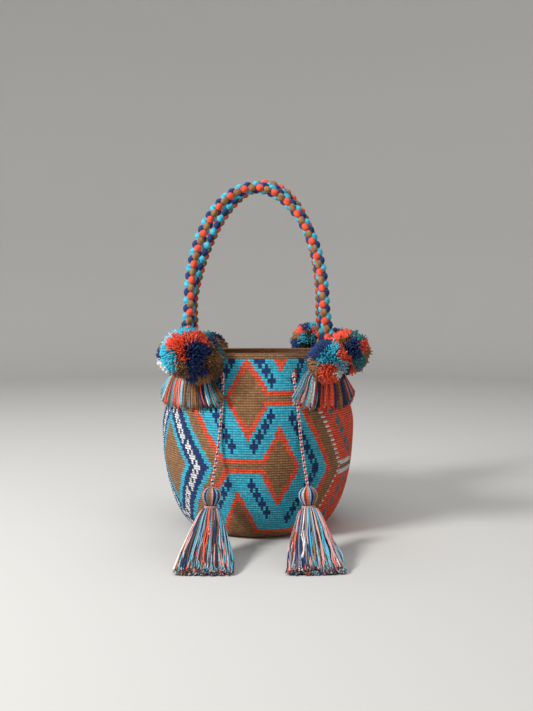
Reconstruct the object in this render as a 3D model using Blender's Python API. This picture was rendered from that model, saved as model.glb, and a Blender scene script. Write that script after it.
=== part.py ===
"""Wayuu mochila bag: a crocheted bucket with two braided handles, pompoms and a drawcord.

Metres, +Z up. The origin is the middle of the base, on the surface that the bag stands on.
The front of the bag faces -Y. An angle round the bag is measured from the front towards +X.
"""
import math

import bmesh
import bpy
from mathutils import Vector

# Crocheted body
BASE_RADIUS = 0.081
BELLY_RADIUS = 0.1284
BELLY_HEIGHT = 0.135
RIM_HEIGHT = 0.233
RIM_DIP = 0.004
MOUTH_HALF_WIDTH = 0.104
MOUTH_HALF_DEPTH = 0.094
MOUTH_SHIFT = -0.004
MOUTH_SQUARENESS = 2.4
SHOULDER_POWER = 1.8
SIDE_FOLD = 0.24
SIDE_FOLD_REACH = 0.034
WALL = 0.003
FLOOR = 0.004
RIDGES = 18
RIDGE_DEPTH = 0.0009

# Fields of colour in the crochet, in stitches round the body and rows up from its base
STITCHES = 238
ROWS = 83
RIM_ROWS = 3
ZIGZAG_HALF_TURN = 27
LEFT_APEX = (-25.0, 36.5)
RIGHT_APEX = (28.4, 35.0)
LEFT_SLOPE = 0.57
RIGHT_SLOPE = 0.5
MIRROR_COLUMN = -40.5
DIAMONDS = ((-3.4, 65.0), (7.8, 37.5), (-7.8, 9.0), (8.1, 92.0))
DIAMOND_HALF_WIDTH = 8.3
DIAMOND_HALF_HEIGHT = 17.0
OUTLINE_SHARE = 0.62

# Eyelets for the drawcord: a front pair where its ends come out, the others at equal angles
EYELETS = 8
FRONT_EYELET = 20.5
EYELET_ANGLE = 7.0
EYELET_HALF_RIDGES_BELOW_RIM = 3
INNER_SHARES = (1.15, 0.75, 0.4, 0.15)
PLAIN_CELLS = 5

# Clearances between pieces that touch on the real bag
GAP = 0.0003
SOFT_GAP = 0.0006

# Braided handles
ROPE_RADIUS = 0.0082
ROPE_PINCH = 0.0016
ROPE_GROOVE = 0.0014
BEAD_PITCH = 0.0105
HANDLE_ANGLE = 48.0
HANDLE_END_BELOW_RIM = 0.011
ARCH_HALF_WIDTH = 0.0845
ARCH_SPRING_HEIGHT = 0.298
FRONT_ARCH_RISE = 0.144
REAR_ARCH_RISE = 0.162
FRONT_ARCH_LEAN = 0.052
REAR_ARCH_LEAN = 0.045
FRONT_ARCH_SHIFT = -0.003
REAR_ARCH_SHIFT = 0.010
# Left and right half of each arch: widening at its foot, narrowing towards its top
FRONT_ARCH_SIDES = ((0.0, 0.0), (0.0, 0.0))
REAR_ARCH_SIDES = ((0.0117, 0.0), (0.0, 0.010))
LEG_STEPS = 12
ARCH_STEPS = 60
LEAN_POWER = 1.3

# Whipping round each handle end
WHIPPING_THICKNESS = 0.0018
WHIPPING_HEIGHT = 0.014
WHIPPING_SIDES = 12

# Fringe that hangs from each handle end
FRINGE_LENGTH = 0.056
FRINGE_TOP_GAP = 0.0015
FRINGE_THICKNESS = 0.008
FRINGE_TOP_HALF_WIDTH = 0.034
FRINGE_HALF_WIDTH = 0.046
FRINGE_STRANDS = 9
FRINGE_UPPER_LEVELS = (0.0, 0.4, 1.0)
FRINGE_LOWER_LEVELS = (0.75, 1.0)
FRINGE_SPREAD_BY = 0.45
FRINGE_EDGE_THINNING = 0.35
FRINGE_PLEAT = 0.0014
FRINGE_RAGGED = 0.002

# Pompoms: offset from the end of their handle (sideways outwards, away from the bag, up), radius
POMPOMS = {
    "front_left_outer": (-0.007, 0.037, 0.015, 0.0303),
    "front_left_inner": (-0.0215, 0.0265, 0.007, 0.0290),
    "front_right_outer": (0.0175, 0.020, 0.0155, 0.0262),
    "front_right_inner": (-0.006, 0.034, 0.005, 0.0257),
    "rear_left_outer": (0.0260, 0.014, 0.001, 0.0280),
    "rear_left_inner": (-0.0190, 0.029, 0.006, 0.0280),
    "rear_right_outer": (0.0220, 0.022, 0.012, 0.0270),
    "rear_right_inner": (-0.0145, 0.030, 0.0195, 0.0280),
}
POMPOM_SIDES = 12
POMPOM_RINGS = 6
POMPOM_TUFT = 0.0012

# Drawcord
CORD_RADIUS = 0.0021
CORD_STEP = 0.0084
CORD_WALL_GAP = 0.0010
CORD_CROSSING = 4.0
CORD_CROSSING_STEPS = (-1.0, -0.5, 0.0, 0.5, 1.0)
CORD_TURN_ANGLE = 0.6
CORD_TURN_DEPTH = 0.0026
HELD_CORD_SIDES = 6

# Free cord ends, from the front eyelets down over the belly to the tassels
LEFT_CORD_ROUTE = (
    (-0.0440, -0.1028, 0.2100), (-0.0437, -0.1050, 0.2100), (-0.0433, -0.1080, 0.2099),
    (-0.0429, -0.1110, 0.2086), (-0.0425, -0.1136, 0.2045), (-0.0424, -0.1156, 0.1955),
    (-0.0429, -0.1177, 0.1850), (-0.0435, -0.1198, 0.1740), (-0.0442, -0.1215, 0.1630),
    (-0.0449, -0.1228, 0.1520), (-0.0458, -0.1235, 0.1410), (-0.0469, -0.1240, 0.1300),
    (-0.0483, -0.1249, 0.1190), (-0.0501, -0.1272, 0.1080), (-0.0519, -0.1306, 0.0970),
    (-0.0536, -0.1346, 0.0870), (-0.0549, -0.1388, 0.0780),
)
RIGHT_CORD_ROUTE = (
    (0.0440, -0.1028, 0.2100), (0.0437, -0.1050, 0.2100), (0.0433, -0.1080, 0.2099),
    (0.0432, -0.1110, 0.2086), (0.0436, -0.1136, 0.2045), (0.0450, -0.1152, 0.1955),
    (0.0467, -0.1168, 0.1850), (0.0480, -0.1184, 0.1740), (0.0491, -0.1199, 0.1630),
    (0.0501, -0.1210, 0.1520), (0.0511, -0.1216, 0.1410), (0.0522, -0.1221, 0.1300),
    (0.0535, -0.1232, 0.1190), (0.0549, -0.1258, 0.1080), (0.0564, -0.1294, 0.0970),
    (0.0580, -0.1338, 0.0870), (0.0592, -0.1384, 0.0780),
)

# Tassels on the cord ends: their skirts lean forward and rest on the surface
TASSEL_HEAD_RADIUS = 0.0118
TASSEL_HEAD_HEIGHT = 0.0225
TASSEL_NECK_RADIUS = 0.0066
TASSEL_SKIRT_LENGTH = 0.096
TASSEL_SKIRT_HALF_WIDTH = 0.034
TASSEL_SKIRT_HALF_HEIGHT = 0.0105
TASSEL_SIDES = 14
TASSEL_HEAD_LEAN = 0.3
TASSEL_FALL_POWER = 1.7
TASSEL_PLEAT = 0.1
TASSEL_RAGGED = 0.002
TASSEL_SWAY = 0.004
# Share of the head's length and of its radius
HEAD_PROFILE = ((0.0, 0.30), (0.12, 0.66), (0.32, 0.95), (0.55, 1.0), (0.78, 0.82))
# Share of the skirt's length, of its half width and of its half height
SKIRT_PROFILE = ((0.2, 0.40, 1.05), (0.45, 0.66, 1.15), (0.72, 0.86, 1.08), (1.0, 1.0, 1.0))
NECK_WRAP_THICKNESS = 0.0017
NECK_WRAP_HEIGHT = 0.0045

# Yarn colours, linear
TAN = (0.235, 0.115, 0.052)
CYAN = (0.045, 0.335, 0.440)
NAVY = (0.018, 0.038, 0.130)
CORAL = (0.700, 0.075, 0.045)
PALE = (0.640, 0.560, 0.520)


def clear_scene():
    """Remove whatever the scene holds."""
    for item in list(bpy.data.objects):
        bpy.data.objects.remove(item, do_unlink=True)


def yarn(name, colour):
    """One matt yarn material."""
    material = bpy.data.materials.new(name)
    material.use_nodes = True
    shader = material.node_tree.nodes["Principled BSDF"]
    shader.inputs["Base Color"].default_value = (*colour, 1.0)
    shader.inputs["Roughness"].default_value = 0.85
    shader.inputs["Metallic"].default_value = 0.0
    return material


def add_mesh(name, vertices, faces, material):
    """Make one object from a closed mesh, with its faces pointing out."""
    mesh = bpy.data.meshes.new(name)
    mesh.from_pydata([tuple(v) for v in vertices], [], faces)
    work = bmesh.new()
    work.from_mesh(mesh)
    bmesh.ops.recalc_face_normals(work, faces=work.faces)
    work.to_mesh(mesh)
    work.free()
    mesh.materials.append(material)
    mesh.shade_smooth()
    mesh.set_sharp_from_angle(angle=math.radians(40))
    item = bpy.data.objects.new(name, mesh)
    bpy.context.scene.collection.objects.link(item)
    return item


def loft(name, rings, material):
    """Skin a list of rings with as many points each, with a flat cap at both ends."""
    count = len(rings[0])
    vertices = [point for ring in rings for point in ring]
    faces = []
    for row in range(len(rings) - 1):
        for i in range(count):
            j = (i + 1) % count
            low = row * count
            faces.append((low + i, low + j, low + count + j, low + count + i))
    faces.append(tuple(reversed(range(count))))
    faces.append(tuple((len(rings) - 1) * count + i for i in range(count)))
    return add_mesh(name, vertices, faces, material)


def signed_power(value, power):
    """A power that keeps the sign of its base."""
    return math.copysign(abs(value) ** power, value)


def body_radius(height):
    """Radius of the round part of the body: an elliptical quarter from the base to the belly."""
    share = min(max(height / BELLY_HEIGHT, 0.0), 1.0)
    return BASE_RADIUS + (BELLY_RADIUS - BASE_RADIUS) * math.sqrt(1 - (1 - share) ** 2)


def shoulder(height):
    """How far the section has turned from the round belly (0) into the mouth (1)."""
    share = (height - BELLY_HEIGHT) / (RIM_HEIGHT - BELLY_HEIGHT)
    return min(max(share, 0.0), 1.0) ** SHOULDER_POWER


def section_point(angle, height):
    """Outer surface of the body at an angle in radians and a height, before the rim's dip."""
    turn = shoulder(height)
    radius = body_radius(height)
    half_width = radius + (MOUTH_HALF_WIDTH - BELLY_RADIUS) * turn
    half_depth = radius + (MOUTH_HALF_DEPTH - BELLY_RADIUS) * turn
    power = 2 / (2 + (MOUTH_SQUARENESS - 2) * turn)
    x = half_width * signed_power(math.sin(angle), power)
    y = -half_depth * signed_power(math.cos(angle), power)
    x *= 1 - SIDE_FOLD * turn * math.exp(-(y / SIDE_FOLD_REACH) ** 2)
    return Vector((x, y + MOUTH_SHIFT * turn, height))


def outward(angle, height):
    """Level direction out of the wall."""
    step = 0.01
    along = section_point(angle + step, height) - section_point(angle - step, height)
    return Vector((along.y, -along.x, 0)).normalized()


def wall_point(angle, height, offset=0.0):
    """A point on the wall, moved outwards by an offset; the rim dips a little at the back."""
    point = section_point(angle, height) + outward(angle, height) * offset
    point.z -= RIM_DIP * shoulder(height) * (1 - math.cos(angle)) / 2
    return point


def profile_heights(count):
    """Heights that divide the wall's side profile into equal lengths."""
    samples = 400
    heights = [RIM_HEIGHT * (i / samples) ** 2 for i in range(samples + 1)]
    lengths = [0.0]
    for low, high in zip(heights, heights[1:]):
        step = section_point(math.pi / 4, high) - section_point(math.pi / 4, low)
        lengths.append(lengths[-1] + step.length)
    result = []
    index = 0
    for k in range(count + 1):
        target = lengths[-1] * k / count
        while index < samples - 1 and lengths[index + 1] < target:
            index += 1
        share = (target - lengths[index]) / (lengths[index + 1] - lengths[index])
        result.append(heights[index] + (heights[index + 1] - heights[index]) * share)
    return result


def eyelet_angles():
    """Angle of each eyelet in degrees, from the right front one round the back."""
    spacing = (360.0 - 2 * FRONT_EYELET) / (EYELETS - 1)
    return [FRONT_EYELET + spacing * k for k in range(EYELETS)]


def eyelet_rings(heights):
    """Levels of the wall's mesh just below and just above the eyelets."""
    low = len(heights) - 2 - EYELET_HALF_RIDGES_BELOW_RIM
    return low, low + 1


def column_angles():
    """Angles of the wall's mesh columns: a narrow cell at each eyelet, wider ones between."""
    middles = eyelet_angles()
    angles = []
    for here, following in zip(middles, middles[1:] + [middles[0] + 360.0]):
        start = here + EYELET_ANGLE / 2
        wide = (following - here - EYELET_ANGLE) / PLAIN_CELLS
        angles.append(math.radians(here - EYELET_ANGLE / 2))
        angles += [math.radians(start + cell * wide) for cell in range(PLAIN_CELLS)]
    return angles


def zigzag(row, apex):
    """Rows from the nearest apex of a zigzag band."""
    return abs((row - apex + ZIGZAG_HALF_TURN) % (2 * ZIGZAG_HALF_TURN) - ZIGZAG_HALF_TURN)


def field(column, row):
    """Yarn at a place of the wall: 0 cyan, 1 tan, 2 coral, 3 navy."""
    turned = (column - MIRROR_COLUMN) % STITCHES
    column = min(turned, STITCHES - turned) + MIRROR_COLUMN
    if row > ROWS - RIM_ROWS:
        return 1
    far_column = STITCHES / 2 + 2 * MIRROR_COLUMN
    for place in (column, far_column - column):
        left = place - LEFT_APEX[0] + LEFT_SLOPE * zigzag(row, LEFT_APEX[1])
        for limit, yarn_index in ((-5.0, 1), (6.5, 3), (8.0, 0), (12.4, 1), (15.0, 2)):
            if left < limit:
                return yarn_index
    right = column - RIGHT_APEX[0] + RIGHT_SLOPE * zigzag(row, RIGHT_APEX[1])
    if right >= 0:
        return 1 if 2.7 < right < 8.0 else 2
    for middle, level in DIAMONDS:
        reach = abs(column - middle) / DIAMOND_HALF_WIDTH + abs(row - level) / DIAMOND_HALF_HEIGHT
        if reach < 1:
            return 1 if reach < OUTLINE_SHARE else 2
    return 0


def make_body(yarns):
    """The crocheted bucket: ridged outside, plain inside, with eyelets under the rim."""
    angles = column_angles()
    count = len(angles)
    heights = profile_heights(2 * RIDGES)
    hole, above_hole = eyelet_rings(heights)
    rings = []
    for level, height in enumerate(heights):
        offset = -RIDGE_DEPTH if level % 2 and level not in (hole, above_hole) else 0.0
        rings.append([wall_point(a, height, offset) for a in angles])
    inner_heights = [RIM_HEIGHT, heights[above_hole], heights[hole]]
    inner_heights += [BELLY_HEIGHT * share for share in INNER_SHARES]
    inner_heights += [FLOOR]
    hole_outside = hole
    hole_inside = len(rings) + 1
    levels = len(heights)
    colours = []
    for height in inner_heights:
        rings.append([wall_point(a, height, -WALL) for a in angles])
    vertices = [point for ring in rings for point in ring]
    faces = []
    for row in range(len(rings) - 1):
        for i in range(count):
            if row in (hole_outside, hole_inside) and i % (PLAIN_CELLS + 1) == 0:
                continue
            j = (i + 1) % count
            low = row * count
            faces.append((low + i, low + j, low + count + j, low + count + i))
            ahead = angles[j] + (2 * math.pi if angles[j] < angles[i] else 0)
            column = math.degrees(angles[i] + ahead) / 2 * STITCHES / 360
            level = min(row, levels - 2)
            colours.append(field(column, (level + 0.5) * ROWS / (levels - 1)))
    for i in range(0, count, PLAIN_CELLS + 1):
        j = i + 1
        outside = [hole_outside * count + i, hole_outside * count + j,
                   (hole_outside + 1) * count + j, (hole_outside + 1) * count + i]
        inside = [(hole_inside + 1) * count + i, (hole_inside + 1) * count + j,
                  hole_inside * count + j, hole_inside * count + i]
        for a in range(4):
            b = (a + 1) % 4
            faces.append((outside[a], outside[b], inside[b], inside[a]))
    faces.append(tuple(reversed(range(count))))
    faces.append(tuple((len(rings) - 1) * count + i for i in range(count)))
    body = add_mesh("bag_body", vertices, faces, yarns[0])
    for extra in yarns[1:]:
        body.data.materials.append(extra)
    for face, colour in zip(body.data.polygons, colours):
        face.material_index = colour
    return body


def handle_end(side, depth_side):
    """End of a handle: outside the wall, under the rim, clear by its whipping."""
    angle = math.radians(HANDLE_ANGLE)
    if depth_side > 0:
        angle = math.pi - angle
    offset = ROPE_RADIUS + GAP + WHIPPING_THICKNESS + SOFT_GAP + GAP
    offset /= math.cos(math.pi / WHIPPING_SIDES)
    return wall_point(side * angle, RIM_HEIGHT - HANDLE_END_BELOW_RIM, offset)


def smooth(share):
    """Ease in and out."""
    return share * share * (3 - 2 * share)


def handle_line(depth_side, rise, lean, shift, sides):
    """Centre line of a handle: two legs and an elliptical arch that leans to the middle."""
    left_foot = ARCH_HALF_WIDTH + sides[0][0]
    right_foot = ARCH_HALF_WIDTH + sides[1][0]
    left = handle_end(-1, depth_side)
    right = handle_end(1, depth_side)
    top = ARCH_SPRING_HEIGHT + rise
    points = []
    for k in range(LEG_STEPS):
        share = smooth(k / LEG_STEPS)
        x = left.x + (shift / 2 - left_foot - left.x) * share
        z = left.z + (ARCH_SPRING_HEIGHT - left.z) * k / LEG_STEPS
        points.append(Vector((x, 0, z)))
    for k in range(ARCH_STEPS + 1):
        turn = math.pi * k / ARCH_STEPS
        wider, narrower = sides[0] if math.cos(turn) > 0 else sides[1]
        half = ARCH_HALF_WIDTH + wider * (1 - math.sin(turn)) ** 2 - narrower * math.sin(turn)
        x = -half * math.cos(turn) + shift * (1 + math.sin(turn)) / 2
        points.append(Vector((x, 0, ARCH_SPRING_HEIGHT + rise * math.sin(turn))))
    for k in range(LEG_STEPS - 1, -1, -1):
        share = smooth(k / LEG_STEPS)
        x = right.x + (shift / 2 + right_foot - right.x) * share
        z = right.z + (ARCH_SPRING_HEIGHT - right.z) * k / LEG_STEPS
        points.append(Vector((x, 0, z)))
    for point in points:
        share = (point.z - left.z) / (top - left.z)
        point.y = left.y - depth_side * lean * share ** LEAN_POWER
    return points


def resample(points, step):
    """Points at equal distances along a line, close to a given step."""
    lengths = [0.0]
    for low, high in zip(points, points[1:]):
        lengths.append(lengths[-1] + (high - low).length)
    count = max(2, round(lengths[-1] / step))
    result = []
    index = 0
    for k in range(count + 1):
        target = lengths[-1] * k / count
        while index < len(points) - 2 and lengths[index + 1] < target:
            index += 1
        share = (target - lengths[index]) / (lengths[index + 1] - lengths[index])
        result.append(points[index].lerp(points[index + 1], share))
    return result


def frames(points, reference):
    """Two cross directions at each point of a line, turned as little as possible."""
    result = []
    across = reference
    for k, point in enumerate(points):
        ahead = points[min(k + 1, len(points) - 1)] - points[max(k - 1, 0)]
        ahead.normalize()
        across = (across - ahead * across.dot(ahead)).normalized()
        result.append((across.copy(), ahead.cross(across)))
    return result


def make_handle(name, line, material):
    """A round braid: four columns of beads, each column half a bead behind the next."""
    centres = resample(line, BEAD_PITCH / 2)
    rings = []
    for k, (centre, (across, up)) in enumerate(zip(centres, frames(centres, Vector((0, 1, 0))))):
        ring = []
        for corner in range(8):
            if corner % 2:
                radius = ROPE_RADIUS - ROPE_GROOVE
            else:
                radius = ROPE_RADIUS - (ROPE_PINCH if (k + corner // 2) % 2 else 0.0)
            turn = math.radians(45 * corner)
            ring.append(centre + (across * math.cos(turn) + up * math.sin(turn)) * radius)
        rings.append(ring)
    return loft(name, rings, material)


def ring_band(name, centre, axis, inner_radius, thickness, height, sides, material):
    """A short band round a rope or a neck, with a rounded outside."""
    axis = axis.normalized()
    across = Vector((0, 1, 0))
    across = (across - axis * across.dot(axis)).normalized()
    up = axis.cross(across)
    inner = inner_radius / math.cos(math.pi / sides)
    outline = ((inner, -height / 2), (inner + thickness, -height / 4),
               (inner + thickness, height / 4), (inner, height / 2))
    vertices = []
    for k in range(sides):
        turn = 2 * math.pi * k / sides
        radial = across * math.cos(turn) + up * math.sin(turn)
        vertices += [centre + radial * r + axis * h for r, h in outline]
    faces = []
    for k in range(sides):
        for i in range(4):
            a = k * 4 + i
            b = k * 4 + (i + 1) % 4
            c = ((k + 1) % sides) * 4 + (i + 1) % 4
            d = ((k + 1) % sides) * 4 + i
            faces.append((a, b, c, d))
    return add_mesh(name, vertices, faces, material)


def make_fringe(name, side, depth_side, material):
    """Cut yarn ends that fan out over the wall below a handle end."""
    middle = math.radians(HANDLE_ANGLE)
    if depth_side > 0:
        middle = math.pi - middle
    top = RIM_HEIGHT - HANDLE_END_BELOW_RIM - FRINGE_TOP_GAP
    levels = [FRINGE_SPREAD_BY * share for share in FRINGE_UPPER_LEVELS]
    levels += FRINGE_LOWER_LEVELS
    rings = []
    for share in levels:
        height = top - FRINGE_LENGTH * share
        spread = smooth(min(share / FRINGE_SPREAD_BY, 1.0))
        half = FRINGE_TOP_HALF_WIDTH + (FRINGE_HALF_WIDTH - FRINGE_TOP_HALF_WIDTH) * spread
        reach = half / BELLY_RADIUS
        front = []
        back = []
        for k in range(FRINGE_STRANDS):
            place = 2 * k / (FRINGE_STRANDS - 1) - 1
            angle = side * (middle + place * reach)
            pleat = FRINGE_PLEAT if k % 2 and share else 0.0
            ragged = FRINGE_RAGGED if k % 2 and share == 1.0 else 0.0
            thick = FRINGE_THICKNESS * (1 - FRINGE_EDGE_THINNING * place * place) - pleat
            back.append(wall_point(angle, height, SOFT_GAP) + Vector((0, 0, ragged)))
            front.append(wall_point(angle, height, SOFT_GAP + thick) + Vector((0, 0, ragged)))
        rings.append(back + front[::-1])
    return loft(name, rings, material)


def nearest_on_wall(point, offset):
    """Nearest point of the wall's offset surface to a point beside the shoulder."""
    start = math.atan2(point.x, -point.y)
    best = None
    for i in range(-24, 25):
        for height in (RIM_HEIGHT * k / 60 for k in range(34, 61)):
            place = wall_point(start + math.radians(1.5 * i), height, offset)
            distance = (place - point).length
            if best is None or distance < best[0]:
                best = (distance, place)
    return best[1]


def make_pompom(name, centre, radius, planes, material):
    """A ball of cut yarn, pressed flat where it meets its neighbours."""
    rings = []
    for level in range(1, POMPOM_RINGS):
        tilt = math.pi * level / POMPOM_RINGS
        ring = []
        for k in range(POMPOM_SIDES):
            turn = 2 * math.pi * (k + 0.5 * (level % 2)) / POMPOM_SIDES
            ray = Vector((math.sin(tilt) * math.cos(turn), math.sin(tilt) * math.sin(turn),
                          math.cos(tilt)))
            reach = radius - (POMPOM_TUFT if (k + level) % 2 else 0.0)
            for place, normal in planes:
                approach = -ray.dot(normal)
                room = (centre - place).dot(normal)
                if approach > 0:
                    reach = min(reach, room / approach)
            ring.append(centre + ray * reach)
        rings.append(ring)
    vertices = [point for ring in rings for point in ring]
    faces = []
    count = POMPOM_SIDES
    for row in range(len(rings) - 1):
        for i in range(count):
            j = (i + 1) % count
            a, b = row * count + i, row * count + j
            c, d = (row + 1) * count + j, (row + 1) * count + i
            faces += [(a, b, c), (a, c, d)]
    for pole, row in ((Vector((0, 0, 1)), 0), (Vector((0, 0, -1)), len(rings) - 1)):
        reach = radius
        for place, normal in planes:
            approach = -pole.dot(normal)
            if approach > 0:
                reach = min(reach, (centre - place).dot(normal) / approach)
        vertices.append(centre + pole * reach)
        for i in range(count):
            faces.append((row * count + i, row * count + (i + 1) % count, len(vertices) - 1))
    return add_mesh(name, vertices, faces, material)


def pompom_centre(key):
    """Centre of a pompom from the end of its handle."""
    depth_side = 1 if key.startswith("rear") else -1
    side = 1 if "right" in key else -1
    end = handle_end(side, depth_side)
    out, away, up, _ = POMPOMS[key]
    return end + Vector((side * out, depth_side * away, up))


def whipping_seat(line, side):
    """Middle and axis of the whipping at one end of a handle's centre line."""
    end, inward = (line[0], line[1]) if side < 0 else (line[-1], line[-2])
    axis = (inward - end).normalized()
    return end + axis * (GAP + WHIPPING_HEIGHT / 2), axis


def make_pompoms(lines, materials):
    """Two pompoms at each handle end, pressed against its whipping and the fringe."""
    whipping_radius = ROPE_RADIUS + GAP + WHIPPING_THICKNESS
    for index, (key, (_, _, _, radius)) in enumerate(POMPOMS.items()):
        side = 1 if "right" in key else -1
        centre = pompom_centre(key)
        swap = ("outer", "inner") if "outer" in key else ("inner", "outer")
        other_key = key.replace(*swap)
        other = pompom_centre(other_key)
        ratio = radius / (radius + POMPOMS[other_key][3])
        between = (centre - other).normalized()
        middle = centre.lerp(other, ratio) + between * (GAP / 2 + GAP)
        knot, axis = whipping_seat(lines[key.split("_")[0]], side)
        away = centre - knot
        away = (away - axis * away.dot(axis)).normalized()
        seat = nearest_on_wall(centre, SOFT_GAP + FRINGE_THICKNESS + GAP)
        planes = [(middle, between), (knot + away * (whipping_radius + GAP), away),
                  (seat, (centre - seat).normalized())]
        make_pompom("pompom_" + key, centre, radius, planes, materials[index % len(materials)])


def cord_line():
    """Centre line of the held drawcord: in and out through the eyelets, round the back."""
    heights = profile_heights(2 * RIDGES)
    hole, above_hole = eyelet_rings(heights)
    level = (heights[hole] + heights[above_hole]) / 2
    inside = -(WALL + CORD_WALL_GAP + CORD_RADIUS)
    outside = CORD_WALL_GAP + CORD_RADIUS
    middles = eyelet_angles()
    stations = []
    for index, middle in enumerate(middles):
        if index in (0, len(middles) - 1):
            inward = 1 if index == 0 else -1
            ends = [(middle, -WALL / 2), (middle + inward * CORD_TURN_ANGLE,
                                          -WALL / 2 - CORD_TURN_DEPTH),
                    (middle + inward * EYELET_ANGLE / 2, inside)]
            stations += ends[::inward]
        else:
            for step in CORD_CROSSING_STEPS:
                share = smooth((step + 1) / 2)
                if index % 2 == 0:
                    share = 1 - share
                offset = inside + (outside - inside) * share
                stations.append((middle + step * CORD_CROSSING, offset))
        if index + 1 < len(middles):
            start = middle + EYELET_ANGLE / 2
            wide = (middles[index + 1] - middle - EYELET_ANGLE) / PLAIN_CELLS
            offset = inside if index % 2 == 0 else outside
            stations += [(start + cell * wide, offset) for cell in range(1, PLAIN_CELLS)]
    return [wall_point(math.radians(angle), level, offset) for angle, offset in stations]


def make_tube(name, points, radius, sides, material):
    """A plain round tube along a line."""
    rings = []
    for centre, (across, up) in zip(points, frames(points, Vector((0, 0, 1)))):
        ring = []
        for k in range(sides):
            turn = 2 * math.pi * k / sides
            ring.append(centre + (across * math.cos(turn) + up * math.sin(turn)) * radius)
        rings.append(ring)
    return loft(name, rings, material)


def smooth_route(route, step):
    """Points at equal steps on a smooth curve through a route's own points."""
    points = [Vector(p) for p in route]
    dense = []
    for k in range(len(points) - 1):
        before = points[max(k - 1, 0)]
        after = points[min(k + 2, len(points) - 1)]
        for i in range(8):
            share = i / 8
            a = points[k + 1] - before
            b = after - points[k]
            square = share * share
            cube = square * share
            dense.append(points[k] * (2 * cube - 3 * square + 1)
                         + a * 0.5 * (cube - 2 * square + share)
                         + points[k + 1] * (3 * square - 2 * cube)
                         + b * 0.5 * (cube - square))
    dense.append(points[-1])
    return resample(dense, step)


def make_free_cord(name, route, material):
    """A free end of the drawcord: a round tube along its route."""
    curve = bpy.data.curves.new(name, "CURVE")
    curve.dimensions = "3D"
    curve.bevel_depth = CORD_RADIUS
    curve.bevel_resolution = 2
    curve.use_fill_caps = True
    points = smooth_route(route, CORD_STEP)
    spline = curve.splines.new("POLY")
    spline.points.add(len(points) - 1)
    for target, point in zip(spline.points, points):
        target.co = (*point, 1.0)
    curve.materials.append(material)
    item = bpy.data.objects.new(name, curve)
    bpy.context.scene.collection.objects.link(item)
    return item


def tassel_axis(route):
    """Centre line of a tassel from the end of its cord down to the surface."""
    last = Vector(route[-1])
    before = Vector(route[-2])
    down = (last - before).normalized()
    top = last + down * GAP
    lean = Vector((down.x * TASSEL_HEAD_LEAN, down.y * TASSEL_HEAD_LEAN, -0.95)).normalized()
    neck = top + lean * TASSEL_HEAD_HEIGHT
    drop = neck.z - TASSEL_SKIRT_HALF_HEIGHT - GAP
    run = math.sqrt(TASSEL_SKIRT_LENGTH ** 2 - drop ** 2)
    return top, neck, drop, run


def make_tassel(name, route, lean, material):
    """A tassel: a round head, a tied neck and a skirt that spreads forward on the surface."""
    top, neck, drop, run = tassel_axis(route)
    head = neck - top
    rings = []
    cuts = []
    cord_end = (Vector(route[-1]) - Vector(route[-2])).normalized()
    for share, radius in HEAD_PROFILE:
        cuts.append((top + head * share, radius * TASSEL_HEAD_RADIUS, radius * TASSEL_HEAD_RADIUS,
                     head.normalized() if share else cord_end, 0.0))
    cuts.append((neck, TASSEL_NECK_RADIUS, TASSEL_NECK_RADIUS, head.normalized(), 0.0))
    below = neck + head.normalized() * (NECK_WRAP_HEIGHT + 2 * GAP)
    cuts.append((below, TASSEL_NECK_RADIUS, TASSEL_NECK_RADIUS, head.normalized(), 0.0))
    for share, wide, tall in SKIRT_PROFILE:
        forward = run * share
        fall = drop * (1 - (1 - share) ** TASSEL_FALL_POWER)
        centre = Vector((neck.x + lean * share, neck.y - forward, neck.z - fall))
        slope = drop * TASSEL_FALL_POWER * (1 - share) ** (TASSEL_FALL_POWER - 1) / run
        ahead = Vector((lean / run, -1.0, -slope)).normalized()
        cuts.append((centre, wide * TASSEL_SKIRT_HALF_WIDTH, tall * TASSEL_SKIRT_HALF_HEIGHT,
                     ahead, share))
    for index, (centre, wide, tall, ahead, share) in enumerate(cuts):
        across = Vector((1, 0, 0))
        across = (across - ahead * across.dot(ahead)).normalized()
        up = across.cross(ahead)
        ring = []
        for k in range(TASSEL_SIDES):
            turn = 2 * math.pi * k / TASSEL_SIDES
            pleat = 1 - TASSEL_PLEAT * (k % 2) * share
            point = centre + across * wide * pleat * math.cos(turn)
            point += up * tall * pleat * math.sin(turn)
            if index == len(cuts) - 1:
                point += ahead * TASSEL_RAGGED * (k % 2)
            point.z = max(point.z, GAP)
            ring.append(point)
        rings.append(ring)
    return loft(name, rings, material)


def make_neck_wrap(name, route, material):
    """The yarn tied round a tassel's neck."""
    top, neck, _, _ = tassel_axis(route)
    axis = (neck - top).normalized()
    centre = neck + axis * (NECK_WRAP_HEIGHT / 2 + GAP)
    return ring_band(name, centre, axis, TASSEL_NECK_RADIUS + GAP, NECK_WRAP_THICKNESS,
                     NECK_WRAP_HEIGHT, WHIPPING_SIDES, material)


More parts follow.
